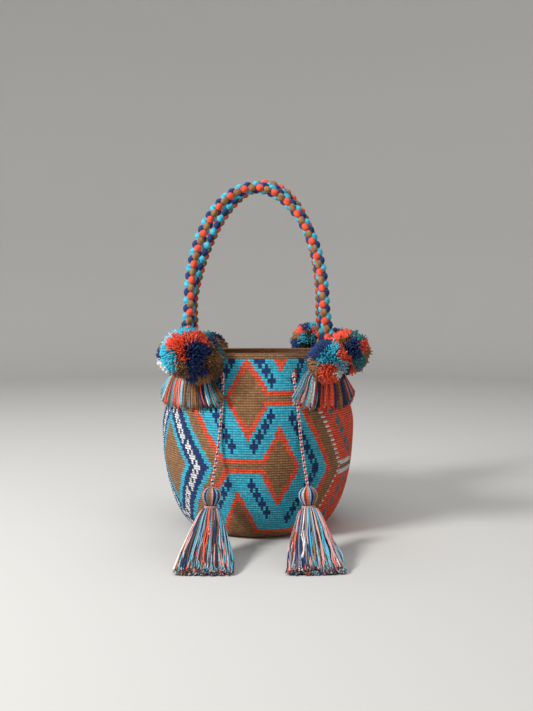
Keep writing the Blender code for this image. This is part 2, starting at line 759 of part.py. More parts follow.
def main():
    clear_scene()
    tan = yarn("tan_yarn", TAN)
    cyan = yarn("cyan_yarn", CYAN)
    navy = yarn("navy_yarn", NAVY)
    coral = yarn("coral_yarn", CORAL)
    pale = yarn("pale_yarn", PALE)
    make_body((cyan, tan, coral, navy))
    arches = {
        "front": (-1, FRONT_ARCH_RISE, FRONT_ARCH_LEAN, FRONT_ARCH_SHIFT, FRONT_ARCH_SIDES, coral),
        "rear": (1, REAR_ARCH_RISE, REAR_ARCH_LEAN, REAR_ARCH_SHIFT, REAR_ARCH_SIDES, navy),
    }
    lines = {}
    for place, (depth_side, rise, lean, shift, sides, material) in arches.items():
        line = handle_line(depth_side, rise, lean, shift, sides)
        lines[place] = line
        make_handle("handle_" + place, line, material)
        for side, label in ((-1, "left"), (1, "right")):
            centre, axis = whipping_seat(line, side)
            ring_band(f"whipping_{place}_{label}", centre, axis, ROPE_RADIUS + GAP,
                      WHIPPING_THICKNESS, WHIPPING_HEIGHT, WHIPPING_SIDES, tan)
            make_fringe(f"fringe_{place}_{label}", side, depth_side, pale)
    make_pompoms(lines, (cyan, tan, navy, coral))
    make_tube("drawcord", cord_line(), CORD_RADIUS, HELD_CORD_SIDES, pale)
    for label, route, lean in (("left", LEFT_CORD_ROUTE, -TASSEL_SWAY),
                               ("right", RIGHT_CORD_ROUTE, TASSEL_SWAY)):
        make_free_cord(f"cord_end_{label}", route, pale)
        make_tassel(f"tassel_{label}", route, lean, coral)
        make_neck_wrap(f"neck_wrap_{label}", route, pale)


main()
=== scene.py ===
"""Looks of the wayuu mochila bag: every stitch, braid strand and yarn end, in the frame of the CAD.

Metres, +Z up, the front faces -Y. Angles round the bag are measured from the front towards +X.
"""
import math

import bpy
import numpy as np
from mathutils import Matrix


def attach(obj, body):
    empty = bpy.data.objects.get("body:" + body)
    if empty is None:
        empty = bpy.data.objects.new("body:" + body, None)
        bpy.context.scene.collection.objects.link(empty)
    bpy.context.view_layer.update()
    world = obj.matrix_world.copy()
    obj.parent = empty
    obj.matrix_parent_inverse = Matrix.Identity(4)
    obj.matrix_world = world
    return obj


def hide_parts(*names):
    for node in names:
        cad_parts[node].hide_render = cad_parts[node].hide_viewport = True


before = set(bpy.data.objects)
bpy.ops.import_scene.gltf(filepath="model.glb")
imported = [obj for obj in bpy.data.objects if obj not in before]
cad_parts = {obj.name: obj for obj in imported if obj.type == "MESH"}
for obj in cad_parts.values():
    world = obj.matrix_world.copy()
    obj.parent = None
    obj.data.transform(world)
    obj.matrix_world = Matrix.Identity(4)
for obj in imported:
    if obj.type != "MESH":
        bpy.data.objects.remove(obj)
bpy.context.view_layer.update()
rng = np.random.default_rng(11)

# Crocheted body, as in the source of the solids
BASE_RADIUS = 0.081
BELLY_RADIUS = 0.1284
BELLY_HEIGHT = 0.135
RIM_HEIGHT = 0.233
RIM_DIP = 0.004
MOUTH_HALF_WIDTH = 0.104
MOUTH_HALF_DEPTH = 0.094
MOUTH_SHIFT = -0.004
MOUTH_SQUARENESS = 2.4
SHOULDER_POWER = 1.8
SIDE_FOLD = 0.24
SIDE_FOLD_REACH = 0.034
WALL = 0.003
FLOOR = 0.004
EYELETS = 8
FRONT_EYELET = 20.5
EYELET_ANGLE = 7.0
EYELET_LOW = 0.2067
EYELET_HIGH = 0.2134
GAP = 0.0003
SOFT_GAP = 0.0006

# Stitches
COLUMNS = 238
ROWS = 83
RIM_ROWS = 2
ROW_GROOVE = 0.00125
COLUMN_GROOVE = 0.00015
EYELET_MARGIN = 0.0008
INSIDE_EYELET_MARGIN = 0.001

# Crochet pattern, in columns right of the front middle and rows above the base
HALF_TURN = 27
MIRROR_COLUMN = -40.5
SIDE_MIRROR = 38.0
LEFT_APEX = (-25.0, 36.5)
LEFT_SLOPE = 0.57
RIGHT_APEX = (28.4, 35.0)
RIGHT_SLOPE = 0.5
TEAL_COLUMN, TEAL_SLOPE = 46.9, 0.66
# Column and row of the first star, steps to the next ones, and how many there are
NAVY_CHAINS = ((0.2, 80, 2, -4, 3), (17.2, 80, -2, -4, 3), (-9.3, 80, -2, -4, 5), (4.1, 58, -2, -4, 4),
               (12.4, 57, 2, -4, 6), (12.4, 15, 2, 4, 6), (-9.4, 46, -2, 4, 5),
               (-11.6, 30, -2, -4, 6), (-2.8, 30, 2, -4, 4))
# Column, row, half width, half height, and the side on which the bar runs on
DIAMONDS = ((-3.4, 65.0, 8.6, 17.0, 1), (7.8, 37.2, 8.0, 17.2, -1), (-7.8, 8.2, 8.4, 20.0, 1),
            (8.1, 92.0, 8.2, 17.0, -1))
DIAMOND_LINE = (2.1, 4.4)

# Handles
ROPE_RADIUS = 0.0082
BEAD_PITCH = 0.0105
HANDLE_ANGLE = 48.0
HANDLE_END_BELOW_RIM = 0.011
ARCH_HALF_WIDTH = 0.0845
ARCH_SPRING_HEIGHT = 0.298
LEG_STEPS = 12
ARCH_STEPS = 60
# Side, rise, lean and shift of each arch; widening of its left foot, narrowing of its right top
ARCHES = {"front": (-1, 0.147, 0.052, -0.003, 0.0, 0.0),
          "rear": (1, 0.158, 0.045, 0.010, 0.0135, 0.0085)}
WHIPPING_THICKNESS = 0.0018
WHIPPING_HEIGHT = 0.014
WHIPPING_SIDES = 12

# Fringes
FRINGE_LENGTH = 0.056
FRINGE_TOP_GAP = 0.0015
FRINGE_THICKNESS = 0.008
FRINGE_TOP_HALF_WIDTH = 0.034
FRINGE_HALF_WIDTH = 0.046
FRINGE_STRANDS = 230
FRINGE_FAN = 0.75
FRINGE_FLARE = 0.68

# Pompoms: offset from the end of their handle (sideways outwards, away from the bag, up), radius
POMPOM_YARNS = 3300
POMPOMS = {
    "front_left_outer": (-0.007, 0.037, 0.015, 0.0303),
    "front_left_inner": (-0.0215, 0.0265, 0.007, 0.0290),
    "front_right_outer": (0.0175, 0.020, 0.0155, 0.0262),
    "front_right_inner": (-0.006, 0.034, 0.005, 0.0257),
    "rear_left_outer": (0.0260, 0.014, 0.001, 0.0280),
    "rear_left_inner": (-0.0190, 0.029, 0.006, 0.0280),
    "rear_right_outer": (0.0220, 0.022, 0.012, 0.0270),
    "rear_right_inner": (-0.0145, 0.030, 0.0195, 0.0280),
}

# Drawcord and tassels
CORD_RADIUS = 0.0021
CORD_STEP = 0.0084
CORD_WALL_GAP = 0.0010
CORD_CROSSING = 4.0
CORD_CROSSING_STEPS = (-1.0, -0.5, 0.0, 0.5, 1.0)
CORD_TURN_ANGLE = 0.6
CORD_TURN_DEPTH = 0.0026
PLAIN_CELLS = 5
LEFT_CORD_ROUTE = (
    (-0.0440, -0.1028, 0.2100), (-0.0437, -0.1050, 0.2100), (-0.0433, -0.1080, 0.2099),
    (-0.0429, -0.1110, 0.2086), (-0.0425, -0.1136, 0.2045), (-0.0424, -0.1156, 0.1955),
    (-0.0429, -0.1177, 0.1850), (-0.0435, -0.1198, 0.1740), (-0.0442, -0.1215, 0.1630),
    (-0.0449, -0.1228, 0.1520), (-0.0458, -0.1235, 0.1410), (-0.0469, -0.1240, 0.1300),
    (-0.0483, -0.1249, 0.1190), (-0.0501, -0.1272, 0.1080), (-0.0519, -0.1306, 0.0970),
    (-0.0536, -0.1346, 0.0870), (-0.0549, -0.1388, 0.0780),
)
RIGHT_CORD_ROUTE = (
    (0.0440, -0.1028, 0.2100), (0.0437, -0.1050, 0.2100), (0.0433, -0.1080, 0.2099),
    (0.0432, -0.1110, 0.2086), (0.0436, -0.1136, 0.2045), (0.0450, -0.1152, 0.1955),
    (0.0467, -0.1168, 0.1850), (0.0480, -0.1184, 0.1740), (0.0491, -0.1199, 0.1630),
    (0.0501, -0.1210, 0.1520), (0.0511, -0.1216, 0.1410), (0.0522, -0.1221, 0.1300),
    (0.0535, -0.1232, 0.1190), (0.0549, -0.1258, 0.1080), (0.0564, -0.1294, 0.0970),
    (0.0580, -0.1338, 0.0870), (0.0592, -0.1384, 0.0780),
)
TASSEL_HEAD_RADIUS = 0.0118
TASSEL_HEAD_HEIGHT = 0.0225
TASSEL_NECK_RADIUS = 0.0066
TASSEL_SKIRT_LENGTH = 0.096
TASSEL_SKIRT_HALF_WIDTH = 0.034
TASSEL_SKIRT_HALF_HEIGHT = 0.0105
NECK_WRAP_HEIGHT = 0.0045
SKIRT_FALL = 1.7
HEAD_STRANDS = 46
SKIRT_STRANDS = 420
CORD_PITCH = 0.0042
# Sideways run of each skirt from the neck to the cut ends
TASSELS = (("left", LEFT_CORD_ROUTE, -0.004), ("right", RIGHT_CORD_ROUTE, 0.004))

# Turn that spreads points evenly over a ball or a disc
GOLDEN_ANGLE = 2.399963
PLY = 0.004

# Camera and lights: place, target, size and power
CAMERA_PLACE = (0.0, -1.10, 0.298)
CAMERA_TILT, CAMERA_TURN = 3.8, -0.6
SENSOR_HEIGHT = 24.0
FOCAL_SHARE = 817 / 711
LIGHTS = {
    "key": ((-1.45, -1.00, 1.40), (0, 0, 0.2), 0.6, 56),
    "fill": ((1.5, -1.3, 0.8), (0, 0, 0.2), 1.4, 4),
    "top": ((0.0, 0.3, 1.9), (0, 0, 0), 1.4, 12),
}

# Yarn colours, linear
COLOURS = {
    "tan": (0.285, 0.142, 0.060),
    "cyan": (0.045, 0.430, 0.580),
    "navy": (0.011, 0.036, 0.135),
    "coral": (0.780, 0.090, 0.038),
    "white": (0.720, 0.700, 0.680),
    "teal": (0.030, 0.190, 0.220),
    "brown": (0.150, 0.068, 0.030),
    "sky": (0.230, 0.420, 0.520),
    "pink": (0.640, 0.330, 0.310),
    "grey": (0.200, 0.200, 0.210),
    # dark: dark yarn, and also painted shade on the eyelets' inner faces
    "dark": (0.030, 0.028, 0.034),
}
NAMES = list(COLOURS)


# Materials

def add_node(tree, kind, **values):
    """One shader node with its properties set."""
    node = tree.nodes.new(kind)
    for key, value in values.items():
        setattr(node, key, value)
    return node


def math_node(tree, operation, a, b=None):
    """A Math node on sockets or numbers; returns its output."""
    node = add_node(tree, "ShaderNodeMath", operation=operation)
    for index, value in enumerate((a, b)):
        if value is None:
            continue
        if isinstance(value, (int, float)):
            node.inputs[index].default_value = value
        else:
            tree.links.new(value, node.inputs[index])
    return node.outputs[0]


def scaled(tree, value, factor, offset):
    """value * factor + offset, where each is a socket or a number."""
    return math_node(tree, "ADD", math_node(tree, "MULTIPLY", value, factor), offset)


def ridges(tree, value):
    """Rounded ridges, one for each whole step of a value."""
    turn = math_node(tree, "MULTIPLY", value, math.pi)
    return math_node(tree, "ABSOLUTE", math_node(tree, "SINE", turn))


def yarn_colour(tree, colour, scale, spread):
    """Colour that varies from fibre to fibre and, more slowly, along the piece."""
    place = add_node(tree, "ShaderNodeTexCoord")
    fine = add_node(tree, "ShaderNodeTexNoise")
    fine.inputs["Scale"].default_value = scale
    fine.inputs["Detail"].default_value = 3.0
    broad = add_node(tree, "ShaderNodeTexNoise")
    broad.inputs["Scale"].default_value = 45.0
    broad.inputs["Detail"].default_value = 2.0
    for node in (fine, broad):
        tree.links.new(place.outputs["Object"], node.inputs["Vector"])
    mixed = scaled(tree, fine.outputs["Fac"], 0.75,
                   math_node(tree, "MULTIPLY", broad.outputs["Fac"], 0.25))
    ramp = add_node(tree, "ShaderNodeValToRGB")
    low, high = ramp.color_ramp.elements
    low.position, high.position = 0.36, 0.64
    low.color = (*[c * (1 - spread) for c in colour], 1.0)
    high.color = (*[min(1.0, c * (1 + spread) + 0.004) for c in colour], 1.0)
    tree.links.new(mixed, ramp.inputs["Fac"])
    return fine.outputs["Fac"], ramp.outputs["Color"]


def base_material(name, colour, spread, scale):
    """Matt yarn with a soft sheen; also returns its fibre noise and the socket that scales its colour,
    which carries tone and painted shade.
    """
    material = bpy.data.materials.new(name)
    material.use_nodes = True
    tree = material.node_tree
    shader = tree.nodes["Principled BSDF"]
    for socket, value in (("Roughness", 0.86), ("Specular IOR Level", 0.25), ("Sheen Weight", 0.06),
                          ("Sheen Roughness", 0.45)):
        shader.inputs[socket].default_value = value
    fine, shade = yarn_colour(tree, colour, scale, spread)
    dimmed = add_node(tree, "ShaderNodeVectorMath", operation="SCALE")
    tree.links.new(shade, dimmed.inputs[0])
    tree.links.new(dimmed.outputs["Vector"], shader.inputs["Base Color"])
    return material, tree, shader, fine, dimmed.inputs["Scale"]


def uv_parts(tree):
    """The two parts of the texture place."""
    uv = add_node(tree, "ShaderNodeUVMap", uv_map="UVMap")
    parts = add_node(tree, "ShaderNodeSeparateXYZ")
    tree.links.new(uv.outputs["UV"], parts.inputs["Vector"])
    return parts.outputs["X"], parts.outputs["Y"]


def add_bump(tree, shader, height, distance, strength):
    """Bump from a height."""
    bump = add_node(tree, "ShaderNodeBump")
    bump.inputs["Distance"].default_value = distance
    bump.inputs["Strength"].default_value = strength
    tree.links.new(height, bump.inputs["Height"])
    tree.links.new(bump.outputs["Normal"], shader.inputs["Normal"])


def strand_material(name, colour):
    """Twisted yarn: the plies run round the strand, with fibres between them."""
    material, tree, shader, fine, shade = base_material("yarn_" + name, colour, 0.22, 1300.0)
    around, along = uv_parts(tree)
    ply = ridges(tree, scaled(tree, around, 2.0, along))
    add_bump(tree, shader, scaled(tree, fine, 0.8, ply), 0.0004, 0.9)

    # Neighbouring strands differ a little in shade, and painted shade darkens the grooves between the
    # plies
    number = math_node(tree, "FLOOR", around)
    own = math_node(tree, "FRACT", scaled(tree, number, 0.618, 0.5))
    tree.links.new(math_node(tree, "MULTIPLY", scaled(tree, own, 0.80, 0.58),
                             scaled(tree, ply, 0.40, 0.68)), shade)
    return material


def stitch_material(name, colour):
    """Crochet: each stitch shows the two slanted legs of its loop, with plies in them."""
    material, tree, shader, fine, shade = base_material("crochet_" + name, colour, 0.20, 1500.0)
    column, row = uv_parts(tree)
    share = math_node(tree, "FRACT", column)
    side = math_node(tree, "ABSOLUTE", math_node(tree, "SUBTRACT", share, 0.5))
    slant = scaled(tree, share, 0.28, row)
    legs = ridges(tree, slant)
    plies = math_node(tree, "SINE", math_node(tree, "MULTIPLY", slant, 6 * math.pi))
    edge = math_node(tree, "COSINE", math_node(tree, "MULTIPLY", side, math.pi))
    edge = scaled(tree, edge, 0.22, 0.78)
    height = scaled(tree, edge, 0.6, scaled(tree, plies, 0.18, legs))
    add_bump(tree, shader, scaled(tree, fine, 0.6, height), 0.0010, 0.9)

    # Each stitch has a shade of its own; painted shade darkens its edges and the grooves between rows
    cell = add_node(tree, "ShaderNodeCombineXYZ")
    for value, socket in ((column, "X"), (row, "Y")):
        tree.links.new(math_node(tree, "FLOOR", value), cell.inputs[socket])
    own = add_node(tree, "ShaderNodeTexWhiteNoise", noise_dimensions="2D")
    tree.links.new(cell.outputs["Vector"], own.inputs["Vector"])
    # Painted shade: darker colour in the grooves between rows and between stitches
    painted_groove_shade = math_node(tree, "POWER", math_node(tree, "MULTIPLY", legs, edge), 0.8)
    tree.links.new(math_node(tree, "MULTIPLY", scaled(tree, own.outputs["Value"], 0.40, 0.86),
                             scaled(tree, painted_groove_shade, 1.05, 0.22)), shade)
    return material


STRANDS = [strand_material(name, COLOURS[name]) for name in NAMES]
STITCHES = [stitch_material(name, COLOURS[name]) for name in NAMES]
CODE = {name: index for index, name in enumerate(NAMES)}


# Meshes

def corner_places(left, right, low, high):
    """Texture places of the four corners of each cell."""
    return np.stack([np.stack([left, low], -1), np.stack([right, low], -1),
                     np.stack([right, high], -1), np.stack([left, high], -1)], -2)


class Builder:
    """Collects vertices, faces, texture places and colour slots of one piece."""

    def __init__(self):
        self.verts, self.faces, self.uvs, self.slots = [], [], [], []
        self.count = 0

    def add(self, verts, faces, uvs, slots):
        """verts (n, 3), faces (m, k) numbered from 0, uvs (m, k, 2), slots (m,)."""
        self.verts.append(verts)
        self.faces += (faces + self.count).tolist()
        self.uvs.append(uvs.reshape(-1, 2))
        self.slots.append(slots)
        self.count += len(verts)

    def strands(self, paths, radii, slots, sides=3, thin=1.0, lobes=0.0, ply=PLY, reference=None,
                tip=None):
        """Round or flat strands along paths (m, n, 3) with radii (m, n) and a slot each."""
        m, n, _ = paths.shape
        along = np.gradient(paths, axis=1)
        along /= np.linalg.norm(along, axis=2, keepdims=True) + 1e-12
        if reference is None:
            mean = np.abs(along.mean(axis=1))
            pick = np.argmin(mean, axis=1)
            reference = np.eye(3)[pick][:, None, :]
        across = np.cross(reference, along)
        across /= np.linalg.norm(across, axis=2, keepdims=True) + 1e-12
        up = np.cross(along, across)
        lengths = np.concatenate([np.zeros((m, 1)), np.cumsum(
            np.linalg.norm(np.diff(paths, axis=1), axis=2), axis=1)], axis=1)
        k = np.arange(sides)
        turn = 2 * np.pi * k / sides
        size = radii[:, :, None] * (1 - lobes * (k % 2))
        ring = (paths[:, :, None, :] + across[:, :, None, :] * (size * np.cos(turn))[..., None]
                + up[:, :, None, :] * (size * np.sin(turn) * thin)[..., None])
        index = np.arange(m * n * sides).reshape(m, n, sides)
        a, d = index[:, :-1], index[:, 1:]
        b, c = np.roll(a, -1, axis=2), np.roll(d, -1, axis=2)
        quads = np.stack([a, b, c, d], -1).reshape(-1, 4)
        u = np.broadcast_to(k / sides + np.arange(m)[:, None, None], (m, n - 1, sides))
        low = np.broadcast_to(lengths[:, :-1, None] / ply, u.shape)
        high = np.broadcast_to(lengths[:, 1:, None] / ply, u.shape)
        base = self.count
        self.add(ring.reshape(-1, 3), quads, corner_places(u, u + 1 / sides, low, high),
                 np.repeat(slots, (n - 1) * sides))
        ends = np.concatenate([index[:, 0, ::-1], index[:, -1]])
        self.faces += (ends + base).tolist()
        self.uvs.append(np.zeros((2 * m * sides, 2)))
        self.slots.append(np.concatenate([slots, slots if tip is None else 0 * slots + tip]))

    def sheet(self, points, du, dv, slots, keep=True):
        """A closed band: points (rows + 1, n, 3), and the texture steps and slot of each cell."""
        rows, n = points.shape[0] - 1, points.shape[1]
        index = np.arange((rows + 1) * n).reshape(rows + 1, n)
        a, d = index[:-1], index[1:]
        quads = np.stack([a, np.roll(a, -1, axis=1), np.roll(d, -1, axis=1), d], -1)
        u = np.broadcast_to(np.arange(n) * du, a.shape)
        v = np.broadcast_to(np.arange(rows)[:, None] * dv, a.shape)
        keep = np.broadcast_to(keep, a.shape)
        self.add(points.reshape(-1, 3), quads[keep], corner_places(u, u + du, v, v + dv)[keep],
                 np.broadcast_to(slots, a.shape)[keep])

    def make(self, name, materials, nodes):
        """Makes the object, lets it ride on the bag and stand for its CAD nodes."""
        mesh = bpy.data.meshes.new(name)
        mesh.from_pydata(np.concatenate(self.verts).tolist(), [], self.faces)
        layer = mesh.uv_layers.new(name="UVMap")
        layer.data.foreach_set("uv", np.concatenate(self.uvs).astype(np.float32).ravel())
        used = np.concatenate(self.slots).astype(np.int32)
        kinds = sorted(set(used.tolist()))
        for kind in kinds:
            mesh.materials.append(materials[kind])
        order = np.zeros(max(kinds) + 1, dtype=np.int32)
        order[kinds] = np.arange(len(kinds))
        mesh.polygons.foreach_set("material_index", order[used])
        mesh.polygons.foreach_set("use_smooth", np.full(len(mesh.polygons), True))
        mesh.update()
        item = bpy.data.objects.new(name, mesh)
        bpy.context.scene.collection.objects.link(item)
        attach(item, "root")
        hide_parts(*nodes)
        return item


# Wall of the body

def signed_power(value, power):
    return np.sign(value) * np.abs(value) ** power


def section(angle, height):
    """Outer surface of the body before the rim's dip, and how far it has turned into the mouth."""
    share = np.clip(height / BELLY_HEIGHT, 0, 1)
    radius = BASE_RADIUS + (BELLY_RADIUS - BASE_RADIUS) * np.sqrt(1 - (1 - share) ** 2)
    turn = np.clip((height - BELLY_HEIGHT) / (RIM_HEIGHT - BELLY_HEIGHT), 0, 1) ** SHOULDER_POWER
    half_width = radius + (MOUTH_HALF_WIDTH - BELLY_RADIUS) * turn
    half_depth = radius + (MOUTH_HALF_DEPTH - BELLY_RADIUS) * turn
    power = 2 / (2 + (MOUTH_SQUARENESS - 2) * turn)
    x = half_width * signed_power(np.sin(angle), power)
    y = -half_depth * signed_power(np.cos(angle), power)
    x = x * (1 - SIDE_FOLD * turn * np.exp(-(y / SIDE_FOLD_REACH) ** 2))
    return x, y + MOUTH_SHIFT * turn, turn


def wall_point(angle, height, offset=0.0):
    """Points on the wall, moved outwards by an offset."""
    angle, height, offset = np.broadcast_arrays(np.asarray(angle, float), np.asarray(height, float),
                                                np.asarray(offset, float))
    x, y, turn = section(angle, height)
    x1, y1, _ = section(angle + 0.01, height)
    x0, y0, _ = section(angle - 0.01, height)
    out = np.stack([y1 - y0, x0 - x1], -1)
    out /= np.linalg.norm(out, axis=-1, keepdims=True)
    z = height - RIM_DIP * turn * (1 - np.cos(angle)) / 2
    return np.stack([x + out[..., 0] * offset, y + out[..., 1] * offset, z], -1)


def profile_heights(count):
    """Heights that divide the wall's side profile into equal lengths."""
    heights = RIM_HEIGHT * (np.arange(801) / 800) ** 2
    x, y, _ = section(np.full_like(heights, math.pi / 4), heights)
    steps = np.sqrt(np.diff(x) ** 2 + np.diff(y) ** 2 + np.diff(heights) ** 2)
    lengths = np.concatenate([[0], np.cumsum(steps)])
    return np.interp(np.linspace(0, lengths[-1], count + 1), lengths, heights)


def eyelet_angles():
    spacing = (360.0 - 2 * FRONT_EYELET) / (EYELETS - 1)
    return [FRONT_EYELET + spacing * k for k in range(EYELETS)]


# Crochet pattern

def chain(column, row, across, up, count):
    """Places of a chain of stars."""
    return [(column + across * k, row + up * k) for k in range(count)]


def crosses(c, r, places):
    """Cells covered by linked stars: three stitches wide and two rows tall, with long tips."""
    hit = np.zeros(c.shape, bool)
    for column, row in places:
        dc, dr = np.abs(c - math.floor(column) - 0.5), np.abs(r - round(row))
        hit |= ((dc < 0.1) & (dr < 2.6)) | ((dc < 1.1) & (dr < 0.6))
    return hit


def bend(r, apex):
    """Rows from the nearest apex of a zigzag."""
    return np.abs((r - apex + HALF_TURN) % (2 * HALF_TURN) - HALF_TURN)


def left_line(r):
    """Column of the left zigzag's white chain in each row."""
    return LEFT_APEX[0] - LEFT_SLOPE * bend(r, LEFT_APEX[1])


def paint_diamonds(c, r, out):
    """Diamonds with a bar that runs on to the next zigzag, and chains of navy stars."""
    navy = [place for values in NAVY_CHAINS for place in chain(*values)]
    out[crosses(c, r, navy)] = CODE["navy"]
    for column, row, wide, tall, run in DIAMONDS:
        middle = round(row + 0.4)
        side = (c - column) * run > 0
        line_wide, line_tall = DIAMOND_LINE
        outer = np.abs(c - column) / wide + np.abs(r - row) / tall < 1
        inner = np.abs(c - column) / (wide - line_wide) + np.abs(r - row) / (tall - line_tall) < 1
        if row > 20:
            outer |= side & (np.abs(r - middle) < 3)
            inner |= side & (np.abs(r - middle) < 1)
        out[outer] = CODE["coral"]
        out[inner] = CODE["tan"]
    out[(c > -1.5) & (r > 7) & (r < 9)] = CODE["coral"]
    out[((c > -7.8) & (r < 7)) | (c > -17) & (r < 5)] = CODE["tan"]


def paint_right(c, r, out):
    """Zigzag to the right: coral, tan with pale dots, then a coral field with teal stars."""
    right = c - (RIGHT_APEX[0] - RIGHT_SLOPE * bend(r, RIGHT_APEX[1]))
    out[right >= 0] = CODE["coral"]
    out[(right >= 2.7) & (right < 7.8)] = CODE["tan"]
    out[(right >= 7.8) & (right < 8.9) & ((r % 2) < 1)] = CODE["white"]
    field = right >= 8.9
    out[field & (np.abs(r - 34.0) < 3)] = CODE["white"]
    out[field & (np.abs(r - 34.0) < 1)] = CODE["tan"]
    rows = [34.5 + sign * (6.2 + 4.6 * k) for sign in (-1, 1) for k in range(9)]
    teal = [(TEAL_COLUMN - TEAL_SLOPE * float(bend(row, RIGHT_APEX[1])), row) for row in rows]
    out[field & crosses(c, r, teal)] = CODE["teal"]


def paint_left(c, r, out):
    """Navy zigzag with a white chain round the tan diamonds of both sides."""
    rows = [LEFT_APEX[1] + 4 * k for k in range(-10, 13)]
    steps = [round(float(bend(row, LEFT_APEX[1])) / 4) for row in rows]
    whites = [(LEFT_APEX[0] - 7 * step // 3, row) for step, row in zip(steps, rows)]
    for place in (c, SIDE_MIRROR - c):
        left = place - left_line(r)
        band = left < 15.0
        out[band] = CODE["coral"]
        for reach, name in ((12.4, "tan"), (8.0, "cyan"), (5.6, "navy")):
            out[band & (left < reach)] = CODE[name]
        out[band & crosses(place, r, whites)] = CODE["white"]
        out[band & (left < -3.3)] = CODE["cyan"]
        out[band & (left < -5.7)] = CODE["tan"]


def pattern(c, r):
    """Colour of each stitch: c columns right of the front middle, r rows above the base."""
    t = (c - MIRROR_COLUMN) % COLUMNS
    c = np.where(t > COLUMNS / 2, COLUMNS - t, t) + MIRROR_COLUMN
    out = np.full(c.shape, CODE["cyan"])
    paint_diamonds(c, r, out)
    paint_right(c, r, out)
    paint_left(c, r, out)
    bar = (c > -17.0) & (c < 7.8) & (np.abs(r - 38) < 1) & (c - left_line(r) > 8.0)
    out[bar] = CODE["tan"]
    out[r > ROWS - RIM_ROWS] = CODE["tan"]
    return out


def in_eyelets(heights, margin):
    """Rows whose middle lies at the height of the eyelets."""
    return np.where((heights > EYELET_LOW - margin) & (heights < EYELET_HIGH + margin))[0]


def outer_points(heights):
    """Outside of the wall, two points to a stitch each way, with their angles and heights."""
    wide, tall = 2 * COLUMNS, 2 * ROWS
    i = np.arange(tall + 1)[:, None]
    j = np.arange(wide)[None, :]
    angle = 2 * np.pi * j / wide + 0 * i
    height = heights[i] + 0 * j
    relief = np.where(i % 2 == 0, -ROW_GROOVE, 0.0) + np.where(j % 2 == 0, -COLUMN_GROOVE, 0.0)
    relief = relief + 0.0002 + rng.normal(0, 0.00008, relief.shape)
    relief = relief + 0.0004 * np.sin(3 * angle + 21 * height) * np.sin(height * 40 + 1.3)
    rim = i > tall - 2 * RIM_ROWS
    relief = relief + np.where(rim, 0.0005 - 0.0007 * (j % 2 == 0), 0.0)
    angle = angle + np.where(j % 2 == 1, 0.0016, 0.0) + rng.normal(0, 0.0010, angle.shape)
    angle = angle + np.where(i % 2 == 1, 0.0022, -0.0010)
    jitter = rng.normal(0, 0.00012, height.shape)
    jitter[0] = 0
    jitter[-1] = 0
    points = wall_point(angle, np.clip(height + jitter, 0.0004, RIM_HEIGHT), relief)
    return points, angle, height


def eyelet_cells(heights):
    """Cells that each eyelet leaves out: rows from and to, columns from and to."""
    rows = in_eyelets((heights[0:-1:2] + heights[2::2]) / 2, EYELET_MARGIN)
    cell_angle = (np.arange(COLUMNS) + 0.5) * 360 / COLUMNS
    holes = []
    for middle in eyelet_angles():
        front = middle < 30 or middle > 330
        span = np.sort(np.argsort(np.abs(cell_angle - middle))[:2 if front else 3])
        holes.append((2 * rows[0], 2 * rows[-1] + 2, 2 * span[0], 2 * span[-1] + 2))
    return holes


def eyelet_edges(work, points, angle, height, holes):
    """Edges of the eyelets, through the wall, in the dark colour as painted shade inside the holes."""
    for low, high, left, right in holes:
        loop = [(low, k) for k in range(left, right)] + [(k, right) for k in range(low, high)]
        loop += [(high, k) for k in range(right, left, -1)] + [(k, left) for k in range(high, low, -1)]
        outer = np.array([points[p] for p in loop])
        inner = np.array([wall_point(angle[p], height[p], -WALL - 0.0002) for p in loop])
        n = len(loop)
        k = np.arange(n)
        faces = np.stack([k, n + k, n + (k + 1) % n, (k + 1) % n], -1)
        # The dark colour here is painted shade inside the eyelets, not the yarn's colour
        work.add(np.concatenate([outer, inner]), faces, np.zeros((n, 4, 2)),
                 np.full(n, CODE["dark"]))


def rolled_rim(work, edge):
    """Rounded top edge, from the outside over to the inside."""
    turn = 2 * np.pi * np.arange(len(edge)) / len(edge)
    bump = np.where(np.arange(len(edge)) % 2 == 0, -0.0005, 0.0003)
    rings = [edge]
    for offset, lift in ((-0.0006, 0.0009), (-0.0016, 0.0013), (-0.0026, 0.0009), (-0.0031, 0.0)):
        ring = wall_point(turn, RIM_HEIGHT, offset)
        ring[:, 2] += lift + bump
        rings.append(ring)
    work.sheet(np.array(rings), 0.5, 0.5, CODE["tan"])


def inside_wall(work, colour, holes):
    """Inside of the wall, with stitches twice as tall and the pattern seen from behind."""
    rows = ROWS // 2
    heights = profile_heights(rows)[::-1]
    turn = 2 * np.pi * np.arange(COLUMNS) / COLUMNS
    i = np.arange(rows + 1)[:, None]
    j = np.arange(COLUMNS)[None, :]
    depth = -0.0031 + np.where(j % 2 == 0, 0.0005, -0.0004) + np.where(i % 2 == 0, 0.0002, 0.0)
    points = wall_point(turn[None, :] + 0 * i, np.maximum(heights[:, None], FLOOR) + 0 * j, depth)
    slots = colour[np.clip(ROWS - 1 - 2 * np.arange(rows), 0, ROWS - 1)]
    slots[:3] = CODE["tan"]
    keep = np.ones(slots.shape, bool)
    for row in in_eyelets((heights[:-1] + heights[1:]) / 2, INSIDE_EYELET_MARGIN):
        for _, _, left, right in holes:
            keep[row, left // 2:right // 2] = False
    work.sheet(points, 1.0, 2.0, slots, keep)


